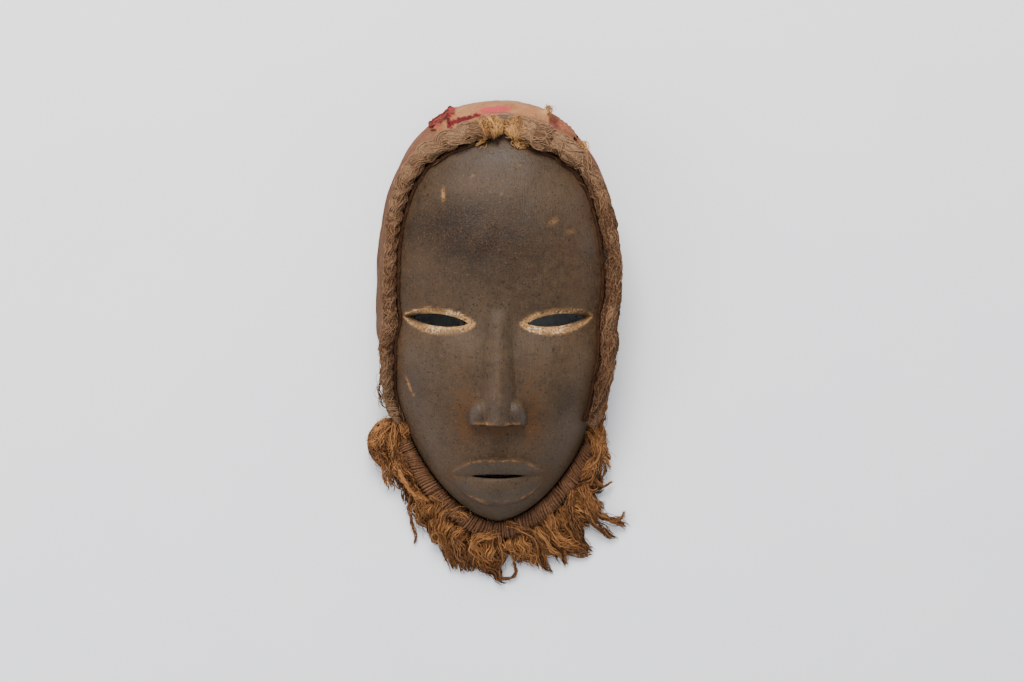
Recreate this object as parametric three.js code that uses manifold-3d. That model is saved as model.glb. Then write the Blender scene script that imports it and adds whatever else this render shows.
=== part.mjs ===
// A carved wooden face mask, lying on its rim with the face up. The wood is hollow behind and cut
// through at the eyes and the mouth. A cloth band and two fibre plaits go round the upper rim, a
// second strip of cloth covers the crown, and a corded roll carries a fibre beard along the jaw.
// Millimetres, in the frame of the carving: X to the right of the face, Y towards the crown, Z out
// of the face, with the flat of the rim at Z = 0.

import * as THREE from 'three';
import { mergeVertices } from 'three/addons/utils/BufferGeometryUtils.js';
import Module from 'manifold-3d';

// The block the face is carved from
const CROWN_Y = 122.5;
const CHIN_Y = -122.5;
const WIDEST_Y = 13.5;
const HALF_WIDTH = 70;
const CROWN_FULLNESS = 2.35;
const JAW_FALL = 2.15;
const JAW_DRAW = 0.6;
const OUTLINE_STEPS = 2400;

// The outer wall, which leans in from the rim to the start of the dome
const WALL_HEIGHT = 14;
const WALL_LEAN = 3;
const CHIN_LEAN = 1.5;

// The dome of the face and the hollow behind it. The dome is rounder over the crown than over the
// jaw, and changes from one to the other across the cheeks.
const DOME_TOP = 58;
const DOME_FALL = 2.4;
const CROWN_ROUNDING = 2.2;
const JAW_ROUNDING = 1.5;
const CHEEKS_TOP_Y = -26.5;
const CHEEKS_BASE_Y = -76.5;
const MIDDLE_Y = 3.5;
const RIM_WIDTH = 9;
const CHIN_RIM_WIDTH = 11;
const HOLLOW_TOP = 49;
const HOLLOW_FALL = 2.6;

// The lines of the face, by halving: the height from the top of the plaits to the chin is halved at
// the eyes, the lower half is halved at the base of the nose, and that quarter again at the mouth.
const PLAIT_TOP_Y = 112.9;
const FACE_HEIGHT = PLAIT_TOP_Y - CHIN_Y;
const EYE_Y = CHIN_Y + FACE_HEIGHT / 2;
const NOSE_BASE_Y = CHIN_Y + FACE_HEIGHT / 4;
const MOUTH_Y = CHIN_Y + FACE_HEIGHT / 8;

// Soft swellings and hollows on the dome: how high each is, where it is highest and how far it spreads
const FOREHEAD = { height: 6, x: 0, y: 55.5, wide: 60, tall: 57 };
const CHEEK = { height: 3, x: 34, y: -38.5, wide: 28, tall: 34 };
const MUZZLE = { height: 4, x: 0, y: MOUTH_Y, wide: 42, tall: 28 };
const EYE_RECESS = { height: -4.5, x: 0, y: EYE_Y, wide: Infinity, tall: 14 };
const BEHIND_FOREHEAD = { ...FOREHEAD, height: 3.6 };

// Eyes one eye's length apart, as slits with a bevelled lip
const EYE_LENGTH = 33;
const EYE_HEIGHT = 7;
const EYE_X = EYE_LENGTH;
const EYE_TILT = THREE.MathUtils.degToRad(7);
const EYE_BEVEL_ABOVE = 3;
const EYE_BEVEL_BELOW = 4.4;
const EYE_BEVEL_DEPTH = 2.2;

// Nose, a wedge that widens to two rounded wings and is cut off flat below. The wings reach as far
// as the inner corners of the eyes.
const NOSE_ROOT_Y = 3;
const NOSE_HEIGHT = 15;
const NOSE_ROOT_HALF_WIDTH = 7;
const NOSE_HALF_WIDTH = 11.5;
const WING_HALF_WIDTH = 6.2;
const WING_X = EYE_LENGTH / 2 - WING_HALF_WIDTH;
const WING_HALF_LENGTH = 9.5;
const WING_HEIGHT = 9.5;
const WING_DROP = 5;

// Lips with crisp outer edges, round a narrow mouth
const LIP_HALF_WIDTH = 0.8 * EYE_LENGTH;
const UPPER_LIP = 9;
const LOWER_LIP = 16;
const LIP_PART = 1.5;
const LIP_HEIGHT = 7;
const BOW_DIP = 1.2;
const BOW_DIP_HALF_WIDTH = 5;
const MOUTH_LENGTH = 31;
const MOUTH_HEIGHT = 2.6;

// What is fastened round the rim
const GAP = 0.6;
const CLOTH = 1;
const ROLL_RADIUS = 5.3;
const ROLL_REACH = 10;
const ROLL_END = 0.735;
const PLAIT_END = 0.715;
const BESIDE_ROLL = GAP + 2 * ROLL_RADIUS + GAP;

const { lerp, clamp, smoothstep } = THREE.MathUtils;

// The outline of the head: a full rounded crown above a long jaw drawn in to the chin. It runs
// clockwise from the crown, once round for t from 0 to 1.
class HeadOutline extends THREE.Curve {

    constructor(halfWidth, crownY, chinY) {
        super();
        this.halfWidth = halfWidth;
        this.crownY = crownY;
        this.chinY = chinY;
        this.arcLengthDivisions = OUTLINE_STEPS;
    }

    getPoint(t, target = new THREE.Vector3()) {
        const side = t <= 0.5 ? 1 : -1;
        const fall = side > 0 ? 4 * t : 4 * (1 - t);
        let across;
        let y;
        if (fall < 1) {
            const angle = fall * Math.PI / 2;
            across = Math.sin(angle) ** (2 / CROWN_FULLNESS);
            const rise = Math.cos(angle) ** (2 / CROWN_FULLNESS);
            y = WIDEST_Y + (this.crownY - WIDEST_Y) * rise;
        } else {
            const drop = 1 - (2 - fall) ** 1.5;
            across = Math.max(0, 1 - drop ** JAW_FALL) ** JAW_DRAW;
            y = WIDEST_Y + (this.chinY - WIDEST_Y) * drop;
        }
        return target.set(side * this.halfWidth * across, y, 0);
    }
}

const footLine = new HeadOutline(HALF_WIDTH, CROWN_Y, CHIN_Y);
const edgeLine = new HeadOutline(HALF_WIDTH - WALL_LEAN, CROWN_Y - WALL_LEAN, CHIN_Y + CHIN_LEAN);
const hollowLine = new HeadOutline(
    HALF_WIDTH - RIM_WIDTH, CROWN_Y - RIM_WIDTH, CHIN_Y + CHIN_RIM_WIDTH);

// How far out of the middle of the face a place lies, as a fraction of the way to an outline
function outwardFraction(outline) {
    const steps = 720;
    const radii = [];
    for (let i = 0; i <= steps; i++) {
        const heading = i / steps * 2 * Math.PI;
        let low = 0;
        let high = 1;
        for (let halving = 0; halving < 40; halving++) {
            const t = (low + high) / 2;
            const p = outline.getPoint(t);
            const passed = (Math.atan2(p.x, p.y - MIDDLE_Y) + 2 * Math.PI) % (2 * Math.PI);
            if (passed < heading) low = t;
            else high = t;
        }
        const p = outline.getPoint((low + high) / 2);
        radii.push(Math.hypot(p.x, p.y - MIDDLE_Y));
    }
    return (x, y) => {
        const heading = (Math.atan2(x, y - MIDDLE_Y) + 2 * Math.PI) % (2 * Math.PI);
        const place = heading / (2 * Math.PI) * steps;
        const i = Math.min(steps - 1, Math.floor(place));
        const radius = lerp(radii[i], radii[i + 1], place - i);
        return Math.min(1, Math.hypot(x, y - MIDDLE_Y) / radius);
    };
}

const toEdge = outwardFraction(edgeLine);
const toHollow = outwardFraction(hollowLine);

const swell = (x, y, spot) =>
    spot.height * Math.exp(-(((x - spot.x) / spot.wide) ** 2) - ((y - spot.y) / spot.tall) ** 2);

const domeRounding = (y) =>
    lerp(JAW_ROUNDING, CROWN_ROUNDING, smoothstep(y, CHEEKS_BASE_Y, CHEEKS_TOP_Y));

// The swellings fade out at the edge of the dome
const holdAt = (k) => 1 - k ** 8;

// The broad form of the face: forehead, brow recess, cheeks and muzzle on the dome
function broadForm(x, y) {
    const k = toEdge(x, y);
    const dome = (1 - k ** DOME_FALL) ** (1 / domeRounding(y));
    const side = Math.abs(x);
    const recess = swell(x, y, EYE_RECESS) * lerp(0.35, 1, smoothstep(side, 4, 18));
    const swellings = swell(x, y, FOREHEAD) + recess + swell(side, y, CHEEK) + swell(x, y, MUZZLE);
    return WALL_HEIGHT + (DOME_TOP - WALL_HEIGHT) * dome + holdAt(k) * swellings;
}

function hollowForm(x, y) {
    const k = toHollow(x, y);
    return HOLLOW_TOP * (1 - k ** HOLLOW_FALL) ** (1 / CROWN_ROUNDING)
        + holdAt(k) * swell(x, y, BEHIND_FOREHEAD);
}

// Values from 0 to 1, closer together where the density is higher
function spread(count, density) {
    const fine = 2000;
    const sums = [0];
    for (let i = 0; i < fine; i++) sums.push(sums[i] + density((i + 0.5) / fine));
    const values = [];
    let i = 0;
    for (let j = 0; j <= count; j++) {
        const wanted = sums[fine] * j / count;
        while (i < fine - 1 && sums[i + 1] < wanted) i++;
        values.push((i + (wanted - sums[i]) / (sums[i + 1] - sums[i])) / fine);
    }
    return values;
}

// A closed solid through a row of sections. Each section is a ring of as many points, anticlockwise
// as seen from the last section, and the two ends are closed by strips across their rings.
function closedLoft(sections) {
    const ring = sections[0].length;
    const faces = [];
    const addFace = (...corners) => faces.push(...corners);
    for (let row = 0; row < sections.length - 1; row++) {
        for (let j = 0; j < ring; j++) {
            const a = row * ring + j;
            const b = row * ring + (j + 1) % ring;
            addFace(a, b, b + ring);
            addFace(a, b + ring, a + ring);
        }
    }
    const last = (sections.length - 1) * ring;
    for (let low = 0, high = ring - 1; low + 1 < high; low++, high--) {
        addFace(last + low, last + low + 1, last + high);
        addFace(low, high, low + 1);
        if (low + 1 < high - 1) {
            addFace(last + low + 1, last + high - 1, last + high);
            addFace(low + 1, high, high - 1);
        }
    }
    const geometry = new THREE.BufferGeometry().setFromPoints(sections.flat());
    geometry.setIndex(faces);
    return geometry;
}

// Joins and cuts of closed solids
const wasm = await Module();
wasm.setup();

function toSolid(geometry) {
    const vertProperties = new Float32Array(geometry.attributes.position.array);
    const triVerts = new Uint32Array(geometry.index.array);
    return new wasm.Manifold(new wasm.Mesh({ numProp: 3, vertProperties, triVerts }));
}

function toGeometry(solid) {
    const mesh = solid.getMesh();
    const geometry = new THREE.BufferGeometry();
    geometry.setAttribute('position', new THREE.BufferAttribute(mesh.vertProperties, 3));
    geometry.setIndex(new THREE.BufferAttribute(mesh.triVerts, 1));
    return geometry;
}

// A dome over an outline, as rows across the face from the crown to the chin
function domeOver(outline, rows, columns, form, footPoints) {
    const sections = rows.map((fall) => {
        const side = outline.getPointAt(fall / 2);
        const section = columns.map((across) => {
            const x = side.x * (1 - 2 * across);
            return new THREE.Vector3(x, side.y, form(x, side.y));
        });
        return [...section, ...footPoints(fall)];
    });
    return closedLoft(sections);
}

// The rows of a dome, which start and end a little short of the tips of its outline
const FIRST_ROW = 0.004;
const rowsOver = (count, density) =>
    spread(count, density).map((fall) => lerp(FIRST_ROW, 1 - FIRST_ROW, fall));

// Columns across a dome, closer together where its sides are steep
const columnsOver = (count, crowding) =>
    spread(count, (across) => 1 + crowding / (1.02 - Math.abs(2 * across - 1)));

function carvedBlock() {
    const rows = rowsOver(38, (fall) => 1 + 0.5 * smoothstep(fall, 0.5, 0.65));
    return domeOver(edgeLine, rows, columnsOver(28, 0.06), broadForm, (fall) => {
        const foot = footLine.getPointAt(fall / 2);
        return [new THREE.Vector3(-foot.x, foot.y, 0), foot];
    });
}

// How far below the rim a cut starts
const BELOW_RIM = -2;

function hollow() {
    const rows = rowsOver(22, () => 1);
    return domeOver(hollowLine, rows, columnsOver(14, 0.1), hollowForm, (fall) => {
        const { x, y } = hollowLine.getPointAt(fall / 2);
        return [new THREE.Vector3(-x, y, BELOW_RIM), new THREE.Vector3(x, y, BELOW_RIM)];
    });
}

// Height of the nose over the broad form
function noseHeight(x, y) {
    const down = clamp((NOSE_ROOT_Y - y) / (NOSE_ROOT_Y - NOSE_BASE_Y), 0, 1);
    const halfWidth = lerp(NOSE_ROOT_HALF_WIDTH, NOSE_HALF_WIDTH, down);
    const ridgeTop = NOSE_HEIGHT * lerp(0.15, 1, down ** 1.1) * smoothstep(down, 0, 0.15);
    const ridge = ridgeTop * Math.max(0, 1 - (x / halfWidth) ** 2) ** 1.1;
    const wingAcross = (Math.abs(x) - WING_X) / WING_HALF_WIDTH;
    const wingAlong = (y - NOSE_BASE_Y - WING_DROP) / WING_HALF_LENGTH;
    const wing = WING_HEIGHT * Math.sqrt(Math.max(0, 1 - wingAcross ** 2 - wingAlong ** 2));
    return Math.max(ridge, wing);
}

function nose() {
    const buried = 3;
    const columns = 16;
    const span = WING_X + WING_HALF_WIDTH + 1;
    const sections = spread(11, (down) => 1 + 2 * smoothstep(down, 0.6, 0.8)).map((down) => {
        const y = lerp(NOSE_ROOT_Y, NOSE_BASE_Y, down);
        const halfWidth = lerp(NOSE_ROOT_HALF_WIDTH + 2, span, smoothstep(down, 0.5, 0.78));
        const top = [];
        const below = [];
        for (let i = 0; i <= columns; i++) {
            const x = halfWidth * (1 - 2 * i / columns);
            const height = noseHeight(x, y);
            const z = broadForm(x, y);
            top.push(new THREE.Vector3(x, y, z + (height > 0.2 ? height : -0.8)));
            below.unshift(new THREE.Vector3(x, y, z - buried));
        }
        return [...top, ...below];
    });
    return closedLoft(sections);
}

// A lip as a row of sections from one corner of the mouth to the other. Each section has places down
// the lip, from the mouth (0) to the outer edge (1), with their heights over the broad form.
function lip(edgeAt, profile) {
    const sections = [];
    for (let i = 0; i <= 14; i++) {
        const x = LIP_HALF_WIDTH * Math.sin(lerp(-1, 1, i / 14) * Math.PI / 2);
        const fullness = Math.sqrt(Math.max(0, 1 - (x / LIP_HALF_WIDTH) ** 2));
        const edge = edgeAt(x);
        sections.push(profile.map(([along, height]) => {
            const y = MOUTH_Y + edge * along;
            const proud = height > 0 ? lerp(-0.5, height, fullness) : height;
            return new THREE.Vector3(x, y, broadForm(x, y) + proud);
        }));
    }
    return sections;
}

const upperLipEdge = (x) => {
    const bow = 1 - Math.abs(x / LIP_HALF_WIDTH) ** 2.4;
    const dip = Math.exp(-((x / BOW_DIP_HALF_WIDTH) ** 2));
    return LIP_PART + UPPER_LIP * bow - BOW_DIP * dip;
};

const lowerLipEdge = (x) => {
    const bow = Math.max(0, 1 - Math.abs(x / LIP_HALF_WIDTH) ** 2.2) ** 0.75;
    return -LIP_PART - LOWER_LIP * bow;
};

function upperLip() {
    const profile = [[1, -4], [1.04, -1], [0.94, LIP_HEIGHT], [0.5, 5.4], [0.02, 2.6], [-0.05, -4]];
    return closedLoft(lip(upperLipEdge, profile));
}

function lowerLip() {
    const profile = [
        [0.16, 5], [0.42, LIP_HEIGHT], [0.72, 6.4], [0.95, 3.6],
        [1.03, -1], [0.97, -4], [-0.03, -4], [0.02, 2.4]];
    return closedLoft(lip(lowerLipEdge, profile));
}

// A pointed oval, the shape of the eye slits and of the mouth
function pointedOval(length, above, below, count) {
    const points = [];
    for (let i = 0; i < count; i++) {
        const angle = i / count * 2 * Math.PI;
        const across = Math.cos(angle);
        const bulge = (1 - across ** 2) ** 0.8;
        points.push(new THREE.Vector2(across * length / 2, bulge * (angle < Math.PI ? above : -below)));
    }
    return points;
}

// What is cut away for an eye: a slit right through, opening out into a bevel at the surface
function eyeCutter(side) {
    const tilt = side * EYE_TILT;
    const place = (p) => p.clone().rotateAround(new THREE.Vector2(), tilt)
        .add(new THREE.Vector2(side * EYE_X, EYE_Y));
    const slit = pointedOval(EYE_LENGTH, EYE_HEIGHT / 2, EYE_HEIGHT / 2, 20).map(place);
    const brim = pointedOval(
        EYE_LENGTH + 9, EYE_HEIGHT / 2 + EYE_BEVEL_ABOVE, EYE_HEIGHT / 2 + EYE_BEVEL_BELOW, 20).map(place);
    const ring = (outline, height) => outline.map((p, i) =>
        new THREE.Vector3(p.x, p.y, height(slit[i], brim[i])));
    const beyond = slit.map((p, i) => p.clone().lerp(brim[i], 2));
    const surface = (p) => broadForm(p.x, p.y);
    return closedLoft([
        ring(slit, () => BELOW_RIM),
        ring(slit, (low, high) => surface(high) - EYE_BEVEL_DEPTH),
        ring(beyond, (low, high) => surface(high) + EYE_BEVEL_DEPTH)]);
}

function mouthCutter() {
    const slit = pointedOval(MOUTH_LENGTH, MOUTH_HEIGHT / 2, MOUTH_HEIGHT / 2, 16);
    return closedLoft([BELOW_RIM, DOME_TOP + LIP_HEIGHT].map((z) =>
        slit.map((p) => new THREE.Vector3(p.x, MOUTH_Y + p.y, z))));
}

function faceWood() {
    let wood = toSolid(carvedBlock()).subtract(toSolid(hollow()));
    for (const feature of [nose(), upperLip(), lowerLip()]) wood = wood.add(toSolid(feature));
    for (const cut of [eyeCutter(-1), eyeCutter(1), mouthCutter()]) wood = wood.subtract(toSolid(cut));
    return toGeometry(wood);
}

// The outside of the wood at one turn round the rim, at a reach up from the rim's foot: first up the
// wall, then over the dome towards the middle of the face, in steps of its rise
const RISE_STEP = 0.02;

function skin(turn, reach) {
    const t = (turn + 1) % 1;
    const foot = footLine.getPointAt(t);
    const edge = edgeLine.getPointAt(t).setZ(WALL_HEIGHT);
    const along = edgeLine.getTangentAt(t);
    const rounding = domeRounding(lerp(MIDDLE_Y, edge.y, 0.9));
    let below = foot;
    let above = edge;
    let walked = 0;
    let step = foot.distanceTo(edge);
    let rise = 0;
    while (walked + step < reach) {
        walked += step;
        rise += RISE_STEP;
        const k = (1 - rise ** rounding) ** (1 / DOME_FALL);
        const next = new THREE.Vector3(edge.x * k, lerp(MIDDLE_Y, edge.y, k), 0);
        next.z = broadForm(next.x, next.y);
        below = above;
        above = next;
        step = below.distanceTo(above);
    }
    const up = above.clone().sub(below).normalize();
    return {
        point: below.clone().lerp(above, (reach - walked) / step),
        outward: up.clone().cross(along).normalize(),
    };
}

// How far down from the crown (0) to the chin (1) a turn has come
const fallOf = (turn) => 1 - Math.abs(1 - 2 * ((turn + 1) % 1));

// Smooth values between a few stations along the rim, each a place and a value
function between(stations) {
    return (place) => {
        let i = 1;
        while (i < stations.length - 1 && place > stations[i][0]) i++;
        const [[a, low], [b, high]] = [stations[i - 1], stations[i]];
        return lerp(low, high, smoothstep(place, a, b));
    };
}

// A rope laid against the wood along the rim. Its section is an oval, flattened towards the wood,
// and its ends are rounded off.
function ropeAlong({ from, to, steps, lift, reach, breadth, depth }) {
    const sides = 9;
    const centres = [];
    const normals = [];
    for (let i = 0; i <= steps; i++) {
        const turn = lerp(from, to, i / steps);
        const fall = fallOf(turn);
        const { point, outward } = skin(turn, reach(fall));
        centres.push(point.addScaledVector(outward, depth(fall) / 2 + lift));
        normals.push(outward);
    }
    const sections = centres.map((centre, i) => {
        const before = centres[Math.max(0, i - 1)];
        const after = centres[Math.min(steps, i + 1)];
        const ahead = after.clone().sub(before).normalize();
        const up = normals[i].clone().addScaledVector(ahead, -normals[i].dot(ahead)).normalize();
        const across = ahead.clone().cross(up);
        const fall = fallOf(lerp(from, to, i / steps));
        const fromEnd = Math.min(i, steps - i);
        const fullness = [0.62, 0.93][fromEnd] ?? 1;
        const section = [];
        for (let j = 0; j < sides; j++) {
            const angle = (j + 0.5) / sides * 2 * Math.PI;
            section.push(centre.clone()
                .addScaledVector(up, Math.cos(angle) * fullness * depth(fall) / 2)
                .addScaledVector(across, Math.sin(angle) * fullness * breadth(fall) / 2));
        }
        return section;
    });
    return closedLoft(sections);
}

// The same rope, thicker all round
function grown(rope, by) {
    return {
        ...rope,
        lift: rope.lift - by,
        breadth: (fall) => rope.breadth(fall) + 2 * by,
        depth: (fall) => rope.depth(fall) + 2 * by,
    };
}

// Cloth laid on the wood: a thin section with its lower and upper edge, carried along the rim
function clothAlong({ from, to, steps, strips, lift, lower, upper }) {
    const sections = [];
    for (let i = 0; i <= steps; i++) {
        const turn = lerp(from, to, i / steps);
        const side = (height) => {
            const points = [];
            for (let j = 0; j <= strips; j++) {
                const { point, outward } = skin(turn, lerp(lower, upper(turn), j / strips));
                points.push(point.addScaledVector(outward, height));
            }
            return points;
        };
        sections.push([...side(lift + CLOTH), ...side(lift).reverse()]);
    }
    return closedLoft(sections);
}

// The notch between the two plaits at the crown, the lashings on both sides of it and the seams
// between a lashing and its plait, all as turns round the rim
const NOTCH_TURN = 0.005;
const NOTCH_HALF = 0.0025;
const TIE_TURN = 0.024;
const SEAM = 0.001;

// How high up the wood each plait runs and how broad and deep it is, down from the crown
const plaitLeft = {
    from: -PLAIT_END / 2,
    to: NOTCH_TURN - NOTCH_HALF - TIE_TURN - SEAM,
    steps: 36,
    lift: GAP,
    reach: between([
        [0, 47], [0.12, 44.5], [0.2, 41], [0.3, 43.5], [0.42, 42.5], [0.52, 39.5], [0.6, 34.5], [0.7, 17.5]]),
    breadth: between([[0, 13.5], [0.2, 13.5], [0.4, 9.5], [0.6, 10], [0.7, 8]]),
    depth: between([[0, 9.5], [0.2, 9], [0.4, 6.5], [0.6, 8], [0.7, 7]]),
};

const plaitRight = {
    from: NOTCH_TURN + NOTCH_HALF + TIE_TURN + SEAM,
    to: PLAIT_END / 2,
    steps: 36,
    lift: GAP,
    reach: between([[0, 47], [0.12, 44], [0.22, 38.5], [0.45, 36.5], [0.64, 36], [0.74, 28]]),
    breadth: between([[0, 13.5], [0.12, 13], [0.22, 10.5], [0.45, 10.8], [0.64, 10.5], [0.74, 9.5]]),
    depth: between([[0, 9.5], [0.2, 9.5], [0.45, 9.5], [0.6, 8.5], [0.74, 8]]),
};

const TIE_PROUD = 0.5;

const crownTieLeft = {
    ...grown(plaitLeft, TIE_PROUD),
    from: plaitLeft.to + 2 * SEAM,
    to: NOTCH_TURN - NOTCH_HALF,
    steps: 8,
    lift: GAP,
};

const crownTieRight = {
    ...grown(plaitRight, TIE_PROUD),
    from: NOTCH_TURN + NOTCH_HALF,
    to: plaitRight.from - 2 * SEAM,
    steps: 8,
    lift: GAP,
};

const jawRoll = {
    from: ROLL_END / 2,
    to: 1 - ROLL_END / 2,
    steps: 30,
    lift: GAP,
    reach: () => ROLL_REACH,
    breadth: () => 2 * ROLL_RADIUS,
    depth: () => 2 * ROLL_RADIUS,
};

// The plait over a turn of the rim, which the cloth's upper edge tucks in under
const plaitOver = (turn) => (turn < 0 ? plaitLeft : plaitRight);
const tuckedUnder = (share) => (turn) => {
    const { reach, breadth } = plaitOver(turn);
    const fall = fallOf(turn);
    return reach(fall) - share * breadth(fall);
};

const clothBand = {
    from: -0.31,
    to: 0.31,
    steps: 42,
    strips: 5,
    lift: GAP,
    lower: 1.5,
    upper: tuckedUnder(0.46),
};

const crownPatch = {
    from: -0.07,
    to: 0.084,
    steps: 12,
    strips: 4,
    lift: 2 * GAP + CLOTH,
    lower: 3,
    upper: tuckedUnder(0.52),
};

// A place beside the rim, at a distance out from it
function besideRim(turn, out) {
    const foot = footLine.getPointAt(turn);
    const along = footLine.getTangentAt(turn);
    const outward = new THREE.Vector3(-along.y, along.x, 0);
    return { place: foot.addScaledVector(outward, out), along, outward };
}

// A tuft of the beard, from its root against the roll to its tip
function tuft({ turn, breadth, tip }) {
    const { place, outward } = besideRim(turn, BESIDE_ROLL);
    const bend = place.clone().addScaledVector(outward, place.distanceTo(tip) * 0.4);
    const spine = new THREE.QuadraticBezierCurve3(place, bend, tip);
    const sides = 8;
    const sections = [0, 0.25, 0.5, 0.75, 1].map((down) => {
        const centre = spine.getPoint(down);
        const ahead = spine.getTangent(down);
        const across = new THREE.Vector3(-ahead.y, ahead.x, 0);
        const halfBreadth = breadth / 2 * (1 - 0.4 * down ** 3);
        const low = lerp(4, 1, down);
        const high = lerp(13.5, 4.5, down ** 1.3);
        const section = [];
        for (let j = 0; j < sides; j++) {
            const angle = (j + 0.5) / sides * 2 * Math.PI;
            section.push(centre.clone()
                .addScaledVector(across, halfBreadth * Math.cos(angle))
                .setZ(lerp(low, high, 0.5 + 0.5 * Math.sin(angle))));
        }
        return section;
    });
    return closedLoft(sections);
}

// Tips of the beard's tufts, from the left cheek round the chin to the right cheek
const TUFT_TIPS = [
    [-58, -105], [-51, -118], [-41, -129], [-33, -143], [-22, -150], [-10, -151], [2, -156],
    [13, -143], [26, -151], [39, -144], [52, -137], [62, -129], [71, -120], [64, -104]];
const BEARD_START = 0.592;
const BEARD_END = 0.408;

const tufts = TUFT_TIPS.map(([x, y], i) => {
    const turnOf = (place) => lerp(BEARD_START, BEARD_END, place / TUFT_TIPS.length);
    const edgeA = besideRim(turnOf(i), BESIDE_ROLL).place;
    const edgeB = besideRim(turnOf(i + 1), BESIDE_ROLL).place;
    return {
        turn: turnOf(i + 0.5),
        breadth: edgeA.distanceTo(edgeB) - 2 * GAP,
        tip: new THREE.Vector3(x, y, 0),
    };
});

// A matted bunch of fibre beside the roll, hollowed where the roll and the nearest tuft pass it
function knot({ turn, out, low, length, breadth, height, beside }) {
    const { place, along, outward } = besideRim(turn, out);
    const bunch = new THREE.SphereGeometry(0.5, 12, 9);
    bunch.deleteAttribute('normal');
    bunch.deleteAttribute('uv');
    bunch.applyMatrix4(new THREE.Matrix4().makeBasis(along.multiplyScalar(length),
        outward.multiplyScalar(breadth), new THREE.Vector3(0, 0, height)));
    bunch.translate(place.x, place.y, low + height / 2);
    const roomy = { ...beside, breadth: beside.breadth + 2 * GAP };
    return toGeometry(toSolid(mergeVertices(bunch, 1e-4))
        .subtract(toSolid(ropeAlong(grown(jawRoll, GAP))))
        .subtract(toSolid(tuft(roomy))));
}

const knotLeft = {
    turn: 0.621, out: 14.5, low: 1.5, length: 34, breadth: 16, height: 20, beside: tufts[0] };
const knotRight = {
    turn: 0.383, out: 6.5, low: 6, length: 36, breadth: 12, height: 17, beside: tufts.at(-1) };

const group = new THREE.Group();

function add(name, geometry, color, roughness) {
    geometry.computeVertexNormals();
    const material = new THREE.MeshStandardMaterial({ color, roughness, metalness: 0 });
    const mesh = new THREE.Mesh(geometry, material);
    mesh.name = name;
    group.add(mesh);
}

add('face_wood', faceWood(), 0x564234, 0.55);
add('cloth_band', clothAlong(clothBand), 0x8a4a38, 0.9);
add('crown_patch', clothAlong(crownPatch), 0xb07a5c, 0.9);
add('plait_left', ropeAlong(plaitLeft), 0x6e4a35, 0.95);
add('plait_right', ropeAlong(plaitRight), 0x72503a, 0.95);
add('crown_tie_left', ropeAlong(crownTieLeft), 0xb08a50, 0.95);
add('crown_tie_right', ropeAlong(crownTieRight), 0xb08a50, 0.95);
add('jaw_roll', ropeAlong(jawRoll), 0x5f4638, 0.95);
add('knot_left', knot(knotLeft), 0x96502a, 0.95);
add('knot_right', knot(knotRight), 0x83492c, 0.95);
tufts.forEach((spec, i) => {
    add(`tuft_${String(i + 1).padStart(2, '0')}`, tuft(spec), 0x965a2d, 0.95);
});

// The origin is under the middle of the mask, on the surface it lies on
const box = new THREE.Box3().setFromObject(group);
const middle = box.getCenter(new THREE.Vector3());
group.position.set(-middle.x, -middle.y, -box.min.z);

export default group;
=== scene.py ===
# A carved wooden face mask, lying on its rim with the face up. A hollow block of wood with slit eyes
# carries a cloth band and two fibre plaits round its upper rim, a patch of cloth on the crown, and
# along the jaw a corded roll with a fibre beard.

import bpy
import numpy as np
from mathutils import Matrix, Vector


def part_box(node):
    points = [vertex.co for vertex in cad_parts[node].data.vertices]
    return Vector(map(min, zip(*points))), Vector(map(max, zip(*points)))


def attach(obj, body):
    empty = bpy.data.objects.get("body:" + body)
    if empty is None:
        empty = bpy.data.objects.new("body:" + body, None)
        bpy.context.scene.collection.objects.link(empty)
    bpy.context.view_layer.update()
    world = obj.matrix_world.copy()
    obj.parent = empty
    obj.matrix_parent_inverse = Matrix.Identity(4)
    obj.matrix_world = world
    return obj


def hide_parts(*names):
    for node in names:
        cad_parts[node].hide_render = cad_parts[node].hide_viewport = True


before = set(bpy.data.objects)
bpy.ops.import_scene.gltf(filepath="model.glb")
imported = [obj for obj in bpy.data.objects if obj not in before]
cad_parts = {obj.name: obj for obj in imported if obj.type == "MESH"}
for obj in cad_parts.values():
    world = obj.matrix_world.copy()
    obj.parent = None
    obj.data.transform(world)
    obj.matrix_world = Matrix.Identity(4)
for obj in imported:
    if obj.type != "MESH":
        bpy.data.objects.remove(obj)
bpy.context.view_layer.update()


# The stage: a pale matt floor, a broad soft light from beyond the crown, a weaker one from the left
# and an even grey surround. The camera looks straight down on the mask, a little to its right.
CAMERA_HEIGHT = 1.171
CAMERA_LENS = 70
CAMERA_ASIDE = 0.0101

camera = bpy.data.objects.new("camera", bpy.data.cameras.new("camera"))
camera.data.lens = CAMERA_LENS
camera.location = (CAMERA_ASIDE, 0, CAMERA_HEIGHT)
bpy.context.scene.collection.objects.link(camera)
bpy.context.scene.camera = camera


def soft_light(name, place, size, power, colour):
    """A square soft box that faces the middle of the mask."""
    light = bpy.data.objects.new(name, bpy.data.lights.new(name, "AREA"))
    light.data.shape = "SQUARE"
    light.data.size = size
    light.data.energy = power
    light.data.color = colour
    light.location = place
    light.rotation_euler = (-Vector(place)).to_track_quat("-Z", "Y").to_euler()
    bpy.context.scene.collection.objects.link(light)


soft_light("key_light", (-0.12, 1.15, 1.25), 0.9, 42, (1, 0.97, 0.94))
soft_light("side_light", (-1.2, -0.2, 0.9), 0.8, 8, (0.95, 0.97, 1))

world = bpy.data.worlds.new("surround")
world.use_nodes = True
world.node_tree.nodes["Background"].inputs["Color"].default_value = (0.9, 0.94, 1, 1)
world.node_tree.nodes["Background"].inputs["Strength"].default_value = 0.95
bpy.context.scene.world = world

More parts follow.
